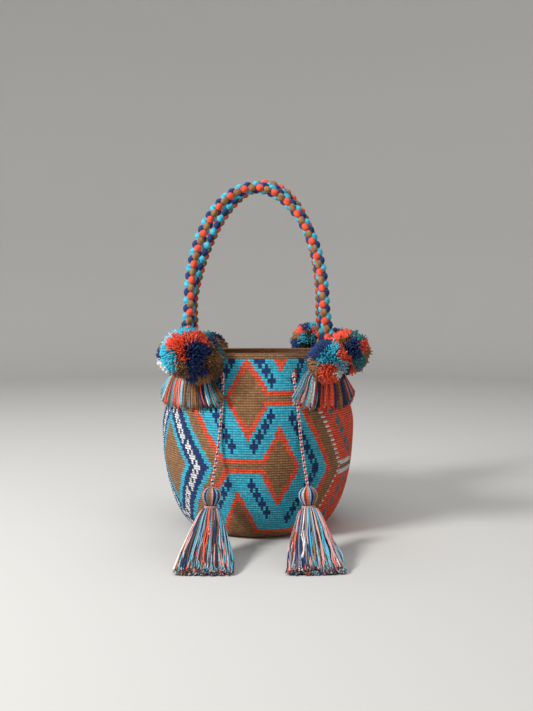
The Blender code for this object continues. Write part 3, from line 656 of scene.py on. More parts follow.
def base_rounds(work, level, sign, rounds):
    """Rounds of stitches of the base, under it (sign -1) or on it (sign 1)."""
    n = COLUMNS // 2
    radii = BASE_RADIUS * (1 - np.arange(rounds + 1) / rounds)
    if sign < 0:
        radii[0] = BASE_RADIUS - 0.0002
    else:
        radii = radii * 1.07
    turn = 2 * np.pi * np.arange(n) / n
    z = level + sign * np.where(np.arange(rounds + 1) % 2 == 0, -0.0003, 0.0002)
    z = np.maximum(z, 0.0002)
    rings = np.stack([radii[:, None] * np.sin(turn), -radii[:, None] * np.cos(turn),
                      z[:, None] + 0 * turn[None, :]], -1)
    slots = np.where((np.arange(rounds) % 9) < 6, CODE["tan"], CODE["coral"])
    work.sheet(rings, 2.0, 1.0, slots[:, None])


def make_body():
    """The bucket: outside stitches, rolled rim, plain inside, base rounds."""
    work = Builder()
    heights = profile_heights(2 * ROWS)
    points, angle, height = outer_points(heights)
    column = np.arange(COLUMNS) + 0.5
    column = np.where(column > COLUMNS / 2, column - COLUMNS, column)
    colour = pattern(*np.meshgrid(column, np.arange(ROWS) + 0.5))
    slots = np.repeat(np.repeat(colour, 2, axis=0), 2, axis=1)
    keep = np.ones(slots.shape, bool)
    holes = eyelet_cells(heights)
    for low, high, left, right in holes:
        keep[low:high, left:right] = False
    work.sheet(points, 0.5, 0.5, slots, keep)
    eyelet_edges(work, points, angle, height, holes)
    rolled_rim(work, points[-1])
    inside_wall(work, colour, holes)
    base_rounds(work, 0.0006, -1, 26)
    base_rounds(work, FLOOR + 0.0002, 1, 12)
    return work.make("crochet_body", STITCHES, ["bag_body"])


# Handles

def smooth(share):
    return share * share * (3 - 2 * share)


def unit(vector):
    return vector / np.linalg.norm(vector)


def sides(key):
    """Side and depth side of a piece: -1 is left or front, 1 is right or rear."""
    return (1 if "right" in key else -1), (1 if "rear" in key else -1)


def handle_angle(depth_side):
    """Angle of a handle's end from the front, without its side."""
    angle = math.radians(HANDLE_ANGLE)
    return math.pi - angle if depth_side > 0 else angle


def handle_end(side, depth_side):
    """End of a handle: outside the wall, under the rim, clear by its whipping."""
    offset = ROPE_RADIUS + GAP + WHIPPING_THICKNESS + SOFT_GAP + GAP
    offset /= math.cos(math.pi / WHIPPING_SIDES)
    height = RIM_HEIGHT - HANDLE_END_BELOW_RIM
    return wall_point(side * handle_angle(depth_side), height, offset)


def handle_line(depth_side, rise, lean, shift, wider, narrower):
    """Centre line of a handle: two legs and an elliptical arch that leans to the middle."""
    left, right = handle_end(-1, depth_side), handle_end(1, depth_side)
    top = ARCH_SPRING_HEIGHT + rise
    points = []
    for k in range(LEG_STEPS):
        share = smooth(k / LEG_STEPS)
        x = left[0] + (shift / 2 - ARCH_HALF_WIDTH - wider - left[0]) * share
        points.append([x, 0, left[2] + (ARCH_SPRING_HEIGHT - left[2]) * k / LEG_STEPS])
    for k in range(ARCH_STEPS + 1):
        turn = math.pi * k / ARCH_STEPS
        if turn < math.pi / 2:
            half = ARCH_HALF_WIDTH + wider * (1 - math.sin(turn)) ** 1.5
        else:
            half = ARCH_HALF_WIDTH - narrower * math.sin(turn)
        x = -half * math.cos(turn) + shift * (1 + math.sin(turn)) / 2
        points.append([x, 0, ARCH_SPRING_HEIGHT + rise * math.sin(turn)])
    for k in range(LEG_STEPS - 1, -1, -1):
        share = smooth(k / LEG_STEPS)
        x = right[0] + (shift / 2 + ARCH_HALF_WIDTH - right[0]) * share
        points.append([x, 0, right[2] + (ARCH_SPRING_HEIGHT - right[2]) * k / LEG_STEPS])
    points = np.array(points)
    share = np.maximum(points[:, 2] - left[2], 0) / (top - left[2])
    points[:, 1] = left[1] - depth_side * lean * share ** 1.3
    return points


def resample(points, step):
    """Points at equal distances along a line."""
    lengths = np.concatenate([[0], np.cumsum(np.linalg.norm(np.diff(points, axis=0), axis=1))])
    count = max(2, round(lengths[-1] / step))
    target = np.linspace(0, lengths[-1], count + 1)
    return np.stack([np.interp(target, lengths, points[:, k]) for k in range(3)], -1), target


def relax(points):
    """Rounds off the small corners of a line and keeps its ends."""
    points = points.copy()
    for _ in range(3):
        points[1:-1] = (points[:-2] + 2 * points[1:-1] + points[2:]) / 4
    return points


def line_frames(points, reference):
    """Two cross directions at each point of a line."""
    ahead = np.gradient(points, axis=0)
    ahead /= np.linalg.norm(ahead, axis=1, keepdims=True)
    across = np.zeros_like(points)
    here = np.array(reference, float)
    for k in range(len(points)):
        here = here - ahead[k] * here.dot(ahead[k])
        here /= np.linalg.norm(here)
        across[k] = here
    return across, np.cross(ahead, across)


def braid(work, line, reference, radius, pitch, roll, slots, step, lobes, sides, fat=0.60):
    """Four-strand round braid: each strand lies over the rope in two opposite columns."""
    points, along = resample(line, step)
    points = relax(points)
    across, up = line_frames(points, reference)
    turn_length = 2 * pitch
    half = fat * radius
    slow = 0.85
    for number, slot in enumerate(slots):
        way = 1 if number < 2 else -1
        start = (number % 2) * math.pi + (math.pi if way < 0 else 0)
        f = 2 * math.pi * (along / turn_length) * way + start
        over = np.cos(2 * f) * way
        theta = f - slow * way * np.sin(2 * f) / 2 + roll
        centre_radius = radius - half * 0.84 - radius * 0.16 * (1 - over)
        radial = across * np.cos(theta)[:, None] + up * np.sin(theta)[:, None]
        path = points + radial * centre_radius[:, None]
        size = half * (0.86 + 0.14 * over)
        work.strands(path[None], size[None], np.array([slot]), sides=sides, lobes=lobes,
                     reference=radial[None], thin=0.86, ply=radius * 0.8)


def make_handles():
    lines = {}
    for place, shape in ARCHES.items():
        line = handle_line(*shape)
        lines[place] = line
        work = Builder()
        roll = 0.45 if place == "front" else math.pi / 2
        braid(work, line, (0, -1, 0), ROPE_RADIUS, BEAD_PITCH, roll,
              [CODE["coral"], CODE["tan"], CODE["cyan"], CODE["navy"]], 0.0015, 0.13, 18)
        work.make("braid_" + place, STRANDS, ["handle_" + place])
    return lines


def coil(work, centre, axis, radius, yarn_radius, turns, slots):
    """Yarn wound round an axis."""
    axis = unit(axis)
    across = unit(np.cross(axis, [0.3, 1, 0.2]))
    up = np.cross(axis, across)
    n = int(turns * 22) + 1
    t = np.linspace(0, turns * 2 * math.pi, n)
    height = (np.linspace(0, 1, n) - 0.5) * turns * yarn_radius * 1.85
    r = radius + yarn_radius
    path = (centre + across * (r * np.cos(t))[:, None] + up * (r * np.sin(t))[:, None]
            + axis * height[:, None])
    for slot, part in zip(slots, np.array_split(np.arange(n), len(slots))):
        low, high = part[0], min(part[-1] + 2, n)
        piece = path[low:high]
        work.strands(piece[None], np.full((1, len(piece)), yarn_radius), np.array([slot]), sides=6,
                     reference=np.broadcast_to(axis, (1, len(piece), 3)))


def whipping_seat(line, side):
    """Middle and axis of a whipping."""
    end, inward = (line[0], line[1]) if side < 0 else (line[-1], line[-2])
    axis = unit(inward - end)
    return end + axis * (GAP + WHIPPING_HEIGHT / 2), axis


def make_whippings(lines):
    for place, line in lines.items():
        for side, label in ((-1, "left"), (1, "right")):
            centre, axis = whipping_seat(line, side)
            work = Builder()
            coil(work, centre, axis, ROPE_RADIUS + GAP, 0.00085, 8.6, [CODE["tan"]])
            work.make(f"wound_yarn_{place}_{label}", STRANDS, [f"whipping_{place}_{label}"])


# Pompoms and fringes

def pompom_centre(key):
    side, depth_side = sides(key)
    out, away, up, _ = POMPOMS[key]
    return handle_end(side, depth_side) + np.array([side * out, depth_side * away, up])


def nearest_on_wall(point, offset):
    """Nearest point of the wall's offset surface to a point beside the shoulder."""
    start = math.atan2(point[0], -point[1])
    angle, height = np.meshgrid(start + np.radians(1.5 * np.arange(-24, 25)),
                                RIM_HEIGHT * np.arange(34, 61) / 60)
    places = wall_point(angle, height, offset).reshape(-1, 3)
    return places[np.argmin(np.linalg.norm(places - point, axis=1))]


# Colours of each pompom by direction: right, up, towards the viewer; the last ones lie behind
SECTORS = {
    "front_left_outer": [
        (0.25, 0.05, 0.95, "navy"), (0.35, 0.30, 0.85, "navy"), (0.22, -0.40, 0.8, "navy"),
        (0.25, -0.75, 0.6, "navy"), (-0.20, 0.45, 0.8, "coral"), (-0.60, 0.42, 0.65, "coral"),
        (0.15, 0.62, 0.7, "coral"), (0.40, 0.70, 0.5, "coral"), (-0.38, 0.10, 0.85, "coral"),
        (-0.28, -0.15, 0.9, "coral"), (-0.55, -0.15, 0.8, "cyan"), (-0.60, -0.50, 0.6, "cyan"),
        (-0.05, 0.92, 0.3, "cyan"), (-0.85, 0.05, 0.4, "cyan"), (-0.8, -0.35, 0.4, "cyan"),
        (-0.65, 0.72, 0.1, "sky"), (-0.30, -0.50, 0.75, "tan"), (-0.15, -0.8, 0.5, "brown"),
        (-0.05, -0.9, 0.3, "tan"), (0.3, -0.9, 0.0, "tan"), (0.0, 0.6, -0.8, "cyan"),
        (-0.5, 0.0, -0.9, "tan"), (0.5, 0.3, -0.8, "coral"), (0.0, -0.7, -0.7, "navy"),
    ],
    "front_left_inner": [
        (-0.15, 0.45, 0.85, "tan"), (0.15, 0.80, 0.5, "navy"), (0.10, 0.92, 0.3, "teal"),
        (0.55, 0.75, 0.2, "navy"), (-0.05, 0.65, 0.6, "brown"), (0.42, 0.62, 0.6, "tan"),
        (0.40, 0.38, 0.8, "navy"),
        (-0.35, 0.1, 0.9, "tan"), (0.08, 0.15, 0.95, "navy"), (0.35, -0.1, 0.9, "tan"),
        (0.45, -0.45, 0.7, "brown"), (0.75, 0.1, 0.6, "tan"), (0.85, 0.4, 0.2, "teal"),
        (-0.1, -0.30, 0.9, "tan"), (-0.35, -0.60, 0.6, "navy"), (0.2, -0.8, 0.5, "tan"),
        (0.7, -0.6, 0.3, "brown"), (0.0, 0.2, -0.9, "cyan"), (0.2, -0.8, -0.6, "coral"),
        (0.68, 0.30, 0.6, "brown"), (0.0, -0.1, 1.0, "brown"), (0.12, -0.50, 0.85, "navy"),
    ],
    "front_right_outer": [
        (-0.15, 0.85, 0.5, "coral"), (-0.55, 0.55, 0.5, "coral"), (-0.45, 0.35, 0.8, "tan"),
        (-0.10, 0.55, 0.8, "brown"), (0.0, 0.25, 0.95, "navy"), (0.3, 0.0, 0.9, "navy"),
        (0.25, 0.4, 0.85, "navy"), (0.45, 0.75, 0.4, "teal"), (0.75, 0.3, 0.5, "coral"),
        (0.65, -0.45, 0.6, "teal"), (0.45, -0.65, 0.6, "teal"), (0.85, -0.2, 0.3, "tan"),
        (-0.25, -0.1, 0.9, "brown"), (-0.2, -0.5, 0.8, "coral"), (0.15, -0.85, 0.5, "coral"),
        (-0.6, -0.3, 0.7, "coral"), (0.2, 0.3, -0.9, "coral"), (0.5, -0.5, -0.7, "cyan"),
        (-0.3, -0.6, -0.7, "navy"),
    ],
    "front_right_inner": [
        (-0.3, 0.65, 0.6, "navy"), (-0.55, 0.35, 0.7, "navy"), (-0.75, 0.6, 0.2, "navy"),
        (0.12, 0.50, 0.8, "cyan"), (0.02, 0.20, 0.95, "cyan"), (-0.2, 0.12, 0.95, "cyan"),
        (0.05, -0.35, 0.9, "coral"), (-0.25, -0.55, 0.75, "coral"), (0.15, -0.75, 0.6, "coral"),
        (0.0, -0.95, 0.3, "coral"), (0.65, -0.35, 0.7, "sky"), (0.75, -0.65, 0.3, "dark"),
        (0.5, -0.6, 0.65, "white"), (-0.75, -0.3, 0.6, "tan"), (-0.8, -0.6, 0.3, "brown"),
        (0.6, 0.2, 0.8, "coral"), (0.75, 0.5, 0.4, "coral"), (0.35, 0.05, 0.95, "cyan"),
        (0.0, 0.2, -0.9, "tan"), (0.4, -0.6, -0.6, "navy"),
    ],
    "rear_left_outer": [
        (-0.7, 0.5, 0.5, "tan"), (-0.8, 0.1, 0.5, "navy"), (-0.7, -0.5, 0.5, "white"),
        (-0.3, 0.8, 0.5, "cyan"), (0.4, 0.5, 0.6, "coral"), (0.3, -0.5, 0.7, "navy"),
        (0.2, 0.2, -0.9, "coral"), (-0.5, -0.3, -0.8, "cyan"), (0.6, 0.0, -0.7, "navy"),
        (0.0, -0.8, -0.5, "tan"), (0.1, 0.8, -0.5, "navy"),
    ],
    "rear_left_inner": [
        (0.0, 0.8, 0.5, "teal"), (0.6, 0.4, 0.5, "tan"), (-0.5, 0.3, 0.6, "navy"),
        (0.0, -0.5, 0.8, "tan"), (0.3, 0.1, -0.9, "cyan"), (0.9, -0.1, 0.2, "tan"),
        (0.5, 0.8, 0.2, "navy"), (-0.5, 0.3, -0.8, "tan"),
        (0.2, -0.7, -0.6, "coral"), (0.1, 0.7, -0.6, "navy"), (-0.7, -0.4, -0.5, "coral"),
    ],
    "rear_right_outer": [
        (0.2, 0.8, 0.5, "navy"), (-0.5, 0.4, 0.7, "coral"), (0.6, 0.0, 0.7, "cyan"),
        (0.0, -0.6, 0.7, "tan"), (0.3, 0.3, -0.9, "navy"), (-0.5, 0.2, -0.8, "coral"),
        (0.5, -0.5, -0.7, "tan"), (-0.2, -0.7, -0.6, "cyan"), (0.1, 0.8, -0.5, "sky"),
    ],
    "rear_right_inner": [
        (0.15, 0.85, 0.5, "cyan"), (-0.25, 0.85, 0.45, "navy"), (-0.55, 0.62, 0.5, "coral"),
        (0.3, 0.65, 0.7, "coral"), (-0.8, 0.3, 0.5, "tan"), (-0.85, -0.1, 0.5, "navy"),
        (-0.35, 0.2, 0.9, "cyan"), (-0.1, 0.4, 0.9, "brown"), (0.15, 0.2, 0.95, "cyan"),
        (-0.2, -0.2, 0.95, "dark"), (0.5, 0.1, 0.8, "navy"), (0.2, -0.5, 0.8, "tan"),
        (0.0, 0.3, -0.9, "coral"), (0.5, -0.4, -0.7, "cyan"), (-0.5, -0.4, -0.7, "navy"),
    ],
}


def flattening_planes(key, centre, line):
    """Planes that flatten a pompom: towards its neighbour, the whipping and the fringe."""
    radius = POMPOMS[key][3]
    swap = ("outer", "inner") if "outer" in key else ("inner", "outer")
    other_key = key.replace(*swap)
    other = pompom_centre(other_key)
    ratio = radius / (radius + POMPOMS[other_key][3])
    knot, axis = whipping_seat(line, sides(key)[0])
    away = centre - knot
    away = unit(away - axis * away.dot(axis))
    seat = nearest_on_wall(centre, SOFT_GAP + FRINGE_THICKNESS * 0.5)
    return [(centre + (other - centre) * ratio, unit(centre - other)),
            (knot + away * (ROPE_RADIUS + GAP + WHIPPING_THICKNESS), away),
            (seat, unit(centre - seat))]


def room_before(plane, centre, rays):
    """How far rays from the centre reach before a plane."""
    place, normal = plane
    approach = -(rays @ normal)
    room = (centre - place).dot(normal)
    return np.where(approach > 0.02, room / np.maximum(approach, 0.02), 1.0)


def make_pompom(key, line):
    radius = POMPOMS[key][3]
    centre = pompom_centre(key)
    planes = flattening_planes(key, centre, line)
    k = np.arange(POMPOM_YARNS)
    z = 1 - 2 * (k + 0.5) / POMPOM_YARNS
    turn = k * GOLDEN_ANGLE
    level = np.sqrt(1 - z * z)
    rays = np.stack([level * np.cos(turn), level * np.sin(turn), z], -1)
    rays += rng.normal(0, 0.030, rays.shape)
    rays /= np.linalg.norm(rays, axis=1, keepdims=True)
    reach = radius * rng.normal(0.995, 0.030, POMPOM_YARNS)
    for plane in planes:
        limit = room_before(plane, centre, rays)
        reach = np.minimum(reach, limit + rng.uniform(0.0, 0.0020, POMPOM_YARNS))

    # Colours by direction, as seen from the front
    toward = unit(np.array(CAMERA_PLACE) - centre)
    right = unit(np.cross([0, 0, 1.0], toward))
    up = np.cross(toward, right)
    seeds = np.array([unit(right * s[0] + up * s[1] + toward * s[2]) for s in SECTORS[key]])
    codes = np.array([CODE[s[3]] for s in SECTORS[key]])
    blur = rays + rng.normal(0, 0.055, rays.shape)
    slots = codes[np.argmax(blur @ seeds.T, axis=1)]
    shares = np.array([0.55, 0.80, 1.0])
    drift = rng.normal(0, 0.0013, (POMPOM_YARNS, 3))
    drift[:, 2] -= 0.0010
    paths = (centre + rays[:, None, :] * (reach[:, None] * shares)[..., None]
             + drift[:, None, :] * (shares ** 2)[None, :, None])
    sizes = np.tile(np.array([0.00075, 0.00085, 0.00085]), (POMPOM_YARNS, 1))
    sizes *= rng.uniform(0.85, 1.15, (POMPOM_YARNS, 1))
    work = Builder()
    work.strands(paths, sizes, slots)

    # A core closes the view between the yarns
    around, rings = 20, 12
    v = np.linspace(0, np.pi, rings + 1)[:, None]
    u = 2 * np.pi * np.arange(around)[None, :] / around
    flat = np.stack([np.sin(v) * np.cos(u), np.sin(v) * np.sin(u), np.cos(v) + 0 * u], -1)
    flat = flat.reshape(-1, 3)
    reach = np.full(len(flat), radius * 0.72)
    for plane in planes:
        reach = np.minimum(reach, 0.9 * room_before(plane, centre, flat))
    index = np.arange(len(flat)).reshape(rings + 1, around)
    a, d = index[:-1], index[1:]
    quads = np.stack([a, d, np.roll(d, -1, 1), np.roll(a, -1, 1)], -1).reshape(-1, 4)
    slots = codes[np.argmax(flat[quads].mean(axis=1) @ seeds.T, axis=1)]
    work.add(centre + flat * reach[:, None], quads, np.zeros((len(quads), 4, 2)), slots)
    work.make("yarn_ball_" + key, STRANDS, ["pompom_" + key])


def make_pompoms(lines):
    for key in POMPOMS:
        make_pompom(key, lines[key.split("_")[0]])


# Colours from one edge to the other, seen from outside, left to right
FRINGES = {
    "front_left": "cyan sky white tan coral teal cyan cyan coral brown pink coral sky tan brown "
                  "grey tan tan brown navy navy brown tan brown",
    "front_right": "sky pink cyan white sky dark coral coral coral coral coral coral navy brown "
                   "tan brown navy navy dark navy navy coral brown coral",
    "rear_left": "navy navy tan coral coral cyan white sky tan tan coral cyan cyan navy tan coral",
    "rear_right": "tan coral white cyan cyan navy navy coral coral tan tan sky white coral navy "
                  "cyan",
}


def make_fringe(key, colours):
    count = FRINGE_STRANDS
    side, depth_side = sides(key)
    top = RIM_HEIGHT - HANDLE_END_BELOW_RIM - FRINGE_TOP_GAP
    place = np.linspace(-1, 1, count) + rng.normal(0, 0.012, count)
    layer = rng.uniform(0, 1, count)
    length = FRINGE_LENGTH * rng.normal(1.0, 0.035, count) - 0.004 * layer
    fan = FRINGE_FAN * place * np.abs(place)
    share = np.linspace(0, 1, 10)
    spread = smooth(np.clip(share / 0.45, 0, 1))
    half = FRINGE_TOP_HALF_WIDTH + (FRINGE_HALF_WIDTH - FRINGE_TOP_HALF_WIDTH) * spread
    waver = (rng.normal(0, 0.010, (count, 1)) * np.sin(share * 5 + rng.uniform(0, 6, (count, 1)))
             * share)
    reach = (place[:, None] * half[None, :]) / BELLY_RADIUS + waver
    # Seen from outside, left to right is the way of growing angle
    angle = side * handle_angle(depth_side) + reach
    flare = (np.sin(fan) * length)[:, None] * share ** 1.4 * FRINGE_FLARE
    angle = angle + flare / BELLY_RADIUS
    height = top - (length * np.cos(fan))[:, None] * share[None, :]
    thick = FRINGE_THICKNESS * (1 - 0.35 * place ** 2)
    lift = 0.0016 + (thick[:, None] - 0.002) * (0.1 + 0.9 * layer[:, None])
    lift = lift * (0.55 + 0.45 * np.sin(np.pi * np.clip(share * 0.9 + 0.1, 0, 1)))
    lift = lift + 0.010 * share ** 2 * np.abs(place[:, None]) ** 3
    codes = np.array([CODE[name] for name in colours])
    slots = codes[np.clip(((place + 1) / 2 * len(codes)).astype(int), 0, len(codes) - 1)]
    mix = rng.uniform(0, 1, count) < 0.18
    slots[mix] = codes[rng.integers(0, len(codes), mix.sum())]
    sizes = np.full((count, len(share)), 0.00095) * rng.uniform(0.85, 1.15, (count, 1))
    work = Builder()
    work.strands(wall_point(angle, height, lift), sizes, slots, sides=5, ply=0.0045)
    work.make("hanging_fringe_" + key, STRANDS, ["fringe_" + key])


def make_fringes():
    for key, colours in FRINGES.items():
        make_fringe(key, colours.split())


# Drawcord and tassels

def cord_line():
    """Centre line of the held drawcord: in and out through the eyelets, round the back."""
    level = (EYELET_LOW + EYELET_HIGH) / 2
    inside = -(WALL + CORD_WALL_GAP + CORD_RADIUS)
    outside = CORD_WALL_GAP + CORD_RADIUS
    middles = eyelet_angles()
    stations = []
    for index, middle in enumerate(middles):
        if index in (0, len(middles) - 1):
            inward = 1 if index == 0 else -1
            ends = [(middle, -WALL / 2),
                    (middle + inward * CORD_TURN_ANGLE, -WALL / 2 - CORD_TURN_DEPTH),
                    (middle + inward * EYELET_ANGLE / 2, inside)]
            stations += ends[::inward]
        else:
            for step in CORD_CROSSING_STEPS:
                share = smooth((step + 1) / 2)
                if index % 2 == 0:
                    share = 1 - share
                stations.append((middle + step * CORD_CROSSING, inside + (outside - inside) * share))
        if index + 1 < len(middles):
            start = middle + EYELET_ANGLE / 2
            wide = (middles[index + 1] - middle - EYELET_ANGLE) / PLAIN_CELLS
            offset = inside if index % 2 == 0 else outside
            stations += [(start + cell * wide, offset) for cell in range(1, PLAIN_CELLS)]
    return np.array([wall_point(math.radians(angle), level, offset) for angle, offset in stations])


def smooth_route(route, step):
    """Points at equal steps on a smooth curve through a route's own points."""
    points = np.array(route, float)
    dense = []
    for k in range(len(points) - 1):
        before, after = points[max(k - 1, 0)], points[min(k + 2, len(points) - 1)]
        for i in range(8):
            s = i / 8
            a, b = points[k + 1] - before, after - points[k]
            dense.append(points[k] * (2 * s ** 3 - 3 * s ** 2 + 1) + a * 0.5 * (s ** 3 - 2 * s ** 2 + s)
                         + points[k + 1] * (3 * s ** 2 - 2 * s ** 3) + b * 0.5 * (s ** 3 - s ** 2))
    dense.append(points[-1])
    return resample(np.array(dense), step)[0]


def tassel_axis(route):
    """Top and neck of a tassel, and how far its skirt falls and runs forwards."""
    last, before = np.array(route[-1]), np.array(route[-2])
    down = unit(last - before)
    top = last + down * GAP
    neck = top + unit(np.array([down[0] * 0.3, down[1] * 0.3, -0.95])) * TASSEL_HEAD_HEIGHT
    drop = neck[2] - TASSEL_SKIRT_HALF_HEIGHT - GAP
    run = math.sqrt(TASSEL_SKIRT_LENGTH ** 2 - drop ** 2)
    return top, neck, drop, run


def skirt_middle(neck, drop, run, lean, below):
    """Middle line of a skirt, from the neck at 0 to the cut ends at 1."""
    return np.stack([neck[0] + lean * below, neck[1] - run * below,
                     neck[2] - drop * (1 - (1 - below) ** SKIRT_FALL)], -1)


def whole_end(route, lean):
    """Route of a free end, on through the head of its tassel and into the skirt."""
    top, neck, drop, run = tassel_axis(route)
    inside = [top + (neck - top) * share for share in (0.35, 0.7, 1.0)]
    inside += list(skirt_middle(neck, drop, run, lean, np.array([0.10, 0.20, 0.31])))
    return list(route) + [tuple(map(float, p)) for p in inside]


def codes_of(names):
    return [CODE[name] for name in names.split()]


CORD_YARNS = codes_of("coral navy white pink")
SKIRT_YARNS = np.array(codes_of("white sky coral navy pink tan grey sky brown dark cyan grey navy "
                                "brown pink dark"))
HEAD_YARNS = np.array(codes_of("sky navy pink tan grey navy sky coral brown white navy"))


def make_cords():
    """The held drawcord and both free ends; returns the ends."""
    work = Builder()
    dense = smooth_route([tuple(p) for p in cord_line()], 0.002)
    braid(work, dense, (0, 0, 1), CORD_RADIUS, CORD_PITCH, 0.4, CORD_YARNS, 0.0011, 0.0, 6)
    work.make("braided_drawcord", STRANDS, ["drawcord"])
    ends = {}
    for label, route, lean in TASSELS:
        work = Builder()
        dense = smooth_route(whole_end(route, lean), 0.002)
        braid(work, dense, (0, 0, 1), CORD_RADIUS, CORD_PITCH, 0.4, CORD_YARNS, 0.0010, 0.0, 6)
        ends[label] = work.make(f"braided_end_{label}", STRANDS, [f"cord_end_{label}"])
    return ends


def head_yarns(work, top, head):
    """Striped head: yarns from the cord over a ball to the neck, round a grey core."""
    axis = unit(head)
    across = unit(np.cross(axis, [0, 1.0, 0]))
    up = np.cross(axis, across)
    shares = np.array([0.0, 0.06, 0.16, 0.32, 0.52, 0.70, 0.86, 1.0])
    widths = np.array([0.16, 0.44, 0.74, 0.97, 1.0, 0.90, 0.70, 0.56]) * TASSEL_HEAD_RADIUS
    turn = 2 * np.pi * np.arange(HEAD_STRANDS) / HEAD_STRANDS + rng.normal(0, 0.02, HEAD_STRANDS)
    radial = across[None, :] * np.cos(turn)[:, None] + up[None, :] * np.sin(turn)[:, None]
    core = top[None, None, :] + head[None, None, :] * shares[None, :, None]
    paths = core + radial[:, None, :] * (widths - 0.0007)[None, :, None]
    sizes = np.interp(widths, [0.001, TASSEL_HEAD_RADIUS], [0.0005, 0.00088])
    first = rng.integers(0, len(HEAD_YARNS))
    slots = HEAD_YARNS[(first + np.arange(HEAD_STRANDS) // 2) % len(HEAD_YARNS)]
    work.strands(paths, np.tile(sizes, (HEAD_STRANDS, 1)), slots, sides=5)
    work.strands(core, (widths - 0.0009)[None], np.array([CODE["grey"]]), sides=14)


def skirt_yarns(work, neck, axis, drop, run, lean):
    """Skirt: cut yarns that fall from the neck and lie down forwards, with dark ends."""
    count = SKIRT_STRANDS
    radius = np.sqrt(rng.uniform(0.05, 1, count))
    # This draw isn't used; it keeps the later ones in their order
    rng.uniform(0, 2 * np.pi, count)
    spin = np.arange(count) * GOLDEN_ANGLE
    u, v = radius * np.cos(spin), radius * np.sin(spin)
    share = np.array([-0.14, -0.05, 0.0, 0.08, 0.16, 0.26, 0.37, 0.49, 0.61, 0.74, 0.87, 1.0])
    below = np.clip(share, 0, 1)
    levels = [0, 0.06, 0.2, 0.45, 0.72, 1.0]
    a = TASSEL_SKIRT_HALF_WIDTH * np.interp(below, levels, [0.19, 0.33, 0.51, 0.71, 0.87, 1.0])
    b = TASSEL_SKIRT_HALF_HEIGHT * np.interp(below, levels, [0.60, 0.75, 1.05, 1.10, 0.86, 0.34])
    a[:3] = TASSEL_NECK_RADIUS * np.array([0.80, 0.86, 0.95])
    b[:3] = a[:3]

    # Middle line, through the neck wrap and down to the surface, with the directions across it
    middle = skirt_middle(neck, drop, run, lean, below)
    for k, below_neck in enumerate((-0.002, 0.0025, NECK_WRAP_HEIGHT + 2 * GAP)):
        middle[k] = neck + axis * below_neck
    middle[-3:, 2] -= np.array([0.0005, 0.0030, 0.0068])
    slope = drop * SKIRT_FALL * (1 - below) ** (SKIRT_FALL - 1) / run
    ahead = np.stack([0 * slope + lean / run, 0 * slope - 1, -slope], -1)
    ahead /= np.linalg.norm(ahead, axis=1, keepdims=True)
    ahead[:3] = axis
    side = np.array([1.0, 0, 0]) - ahead * ahead[:, :1]
    side /= np.linalg.norm(side, axis=1, keepdims=True)
    rise = np.cross(side, ahead)
    paths = (middle[None] + side[None] * (a[None] * u[:, None])[..., None]
             + rise[None] * (b[None] * v[:, None])[..., None])

    # Waves sideways and up, and ends of uneven length
    wave = rng.normal(0, 0.0019, (count, 1)) * np.sin(below[None] * rng.uniform(6, 14, (count, 1))
                                                      + rng.uniform(0, 6, (count, 1)))
    paths[..., 0] += wave * below[None]
    wave = rng.normal(0, 0.0012, (count, 1)) * np.sin(below[None] * 9 + rng.uniform(0, 6, (count, 1)))
    paths[..., 2] += wave * below[None]
    stretch = rng.normal(0, 0.0008, count) + 0.004 * v
    paths[:, -1] += ahead[-1] * stretch[:, None]
    paths[..., 2] = np.maximum(paths[..., 2], 0.0011)

    # Three neighbours each share a colour
    order = np.argsort(np.arctan2(v, u) + 0.4 * radius)
    slots = np.zeros(count, int)
    picks = rng.integers(0, len(SKIRT_YARNS), count // 3 + 1)
    slots[order] = SKIRT_YARNS[np.repeat(picks, 3)[:count]]
    sizes = np.tile(np.array([0.0006, 0.0006, 0.0007] + [0.00080] * 9), (count, 1))
    work.strands(paths, sizes, slots, sides=4, tip=CODE["dark"])


def make_tassel(label, route, lean):
    top, neck, drop, run = tassel_axis(route)
    axis = unit(neck - top)
    work = Builder()
    head_yarns(work, top, neck - top)
    skirt_yarns(work, neck, axis, drop, run, lean)
    tassel = work.make(f"yarn_tassel_{label}", STRANDS, [f"tassel_{label}"])

    work = Builder()
    centre = neck + axis * (NECK_WRAP_HEIGHT / 2 + GAP)
    coil(work, centre, axis, TASSEL_NECK_RADIUS + GAP, 0.00075, 3.2, codes_of("pink pink coral"))
    wrap = work.make(f"wound_neck_{label}", STRANDS, [f"neck_wrap_{label}"])
    return tassel, wrap


# Studio

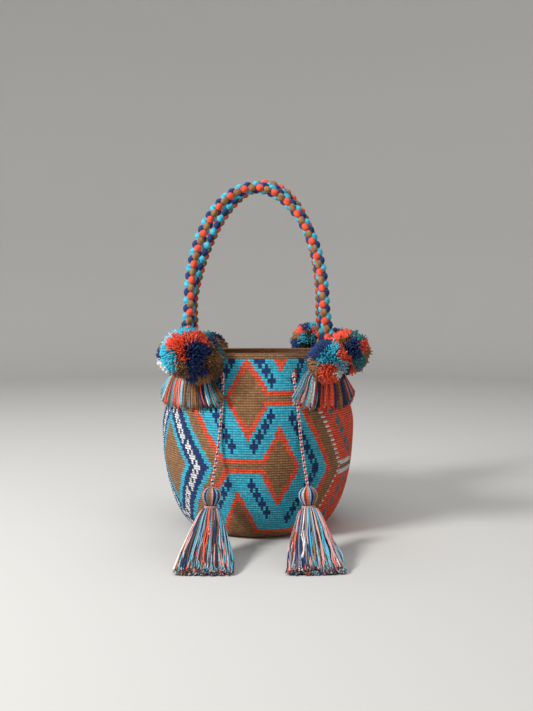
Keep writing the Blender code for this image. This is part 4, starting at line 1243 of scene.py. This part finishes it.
def make_backdrop():
    """Pale floor that turns up into a pale backdrop all round."""
    profile = [(1.0, 0.0), (2.2, 0.0)]
    profile += [(2.2 + 0.6 * math.sin(t), 0.6 - 0.6 * math.cos(t))
                for t in np.radians([15, 30, 45, 60, 75, 90])]
    profile += [(2.8, 2.2)]
    n = 64
    verts = [(0, 0, 0)]
    for r, z in profile:
        verts += [(r * math.cos(2 * math.pi * k / n), r * math.sin(2 * math.pi * k / n), z)
                  for k in range(n)]
    faces = [(0, 1 + k, 1 + (k + 1) % n) for k in range(n)]
    for row in range(len(profile) - 1):
        for k in range(n):
            a, b = 1 + row * n + k, 1 + row * n + (k + 1) % n
            faces.append((a, a + n, b + n, b))
    mesh = bpy.data.meshes.new("studio")
    mesh.from_pydata(verts, [], faces)
    mesh.shade_smooth()
    material = bpy.data.materials.new("studio_paper")
    material.use_nodes = True
    tree = material.node_tree
    shader = tree.nodes["Principled BSDF"]
    shader.inputs["Base Color"].default_value = (0.50, 0.488, 0.466, 1)
    shader.inputs["Roughness"].default_value = 0.95
    noise = add_node(tree, "ShaderNodeTexNoise")
    noise.inputs["Scale"].default_value = 40.0
    add_bump(tree, shader, noise.outputs["Fac"], 0.002, 0.10)
    mesh.materials.append(material)
    studio = bpy.data.objects.new("studio", mesh)
    bpy.context.scene.collection.objects.link(studio)


def make_camera():
    camera = bpy.data.cameras.new("camera")
    camera.sensor_fit = "VERTICAL"
    camera.sensor_height = SENSOR_HEIGHT
    camera.lens = SENSOR_HEIGHT * FOCAL_SHARE
    camera.clip_start = 0.01
    item = bpy.data.objects.new("camera", camera)
    item.location = CAMERA_PLACE
    item.rotation_euler = (math.radians(90 - CAMERA_TILT), 0, math.radians(CAMERA_TURN))
    bpy.context.scene.collection.objects.link(item)
    bpy.context.scene.camera = item


def make_lights():
    """Three soft lamps and a pale sky."""
    for name, (place, target, size, power) in LIGHTS.items():
        light = bpy.data.lights.new(name, "AREA")
        light.shape = "DISK"
        light.size = size
        light.energy = power
        item = bpy.data.objects.new(name, light)
        item.location = place
        d = np.array(target, float) - np.array(place, float)
        item.rotation_euler = (math.acos(-d[2] / np.linalg.norm(d)), 0,
                               math.atan2(d[1], d[0]) - math.pi / 2)
        bpy.context.scene.collection.objects.link(item)
    world = bpy.data.worlds.new("world")
    bpy.context.scene.world = world
    world.use_nodes = True
    sky = world.node_tree.nodes["Background"]
    sky.inputs["Color"].default_value = (0.93, 0.96, 1.0, 1)
    sky.inputs["Strength"].default_value = 0.56
    bpy.context.scene.view_settings.view_transform = "Standard"


make_backdrop()
make_camera()
make_lights()
cord_ends = make_cords()
for label, route, lean in TASSELS:
    tassel, wrap = make_tassel(label, route, lean)
    points = smooth_route(whole_end(route, lean), CORD_STEP)
make_body()
handle_lines = make_handles()
make_whippings(handle_lines)
make_pompoms(handle_lines)
make_fringes()
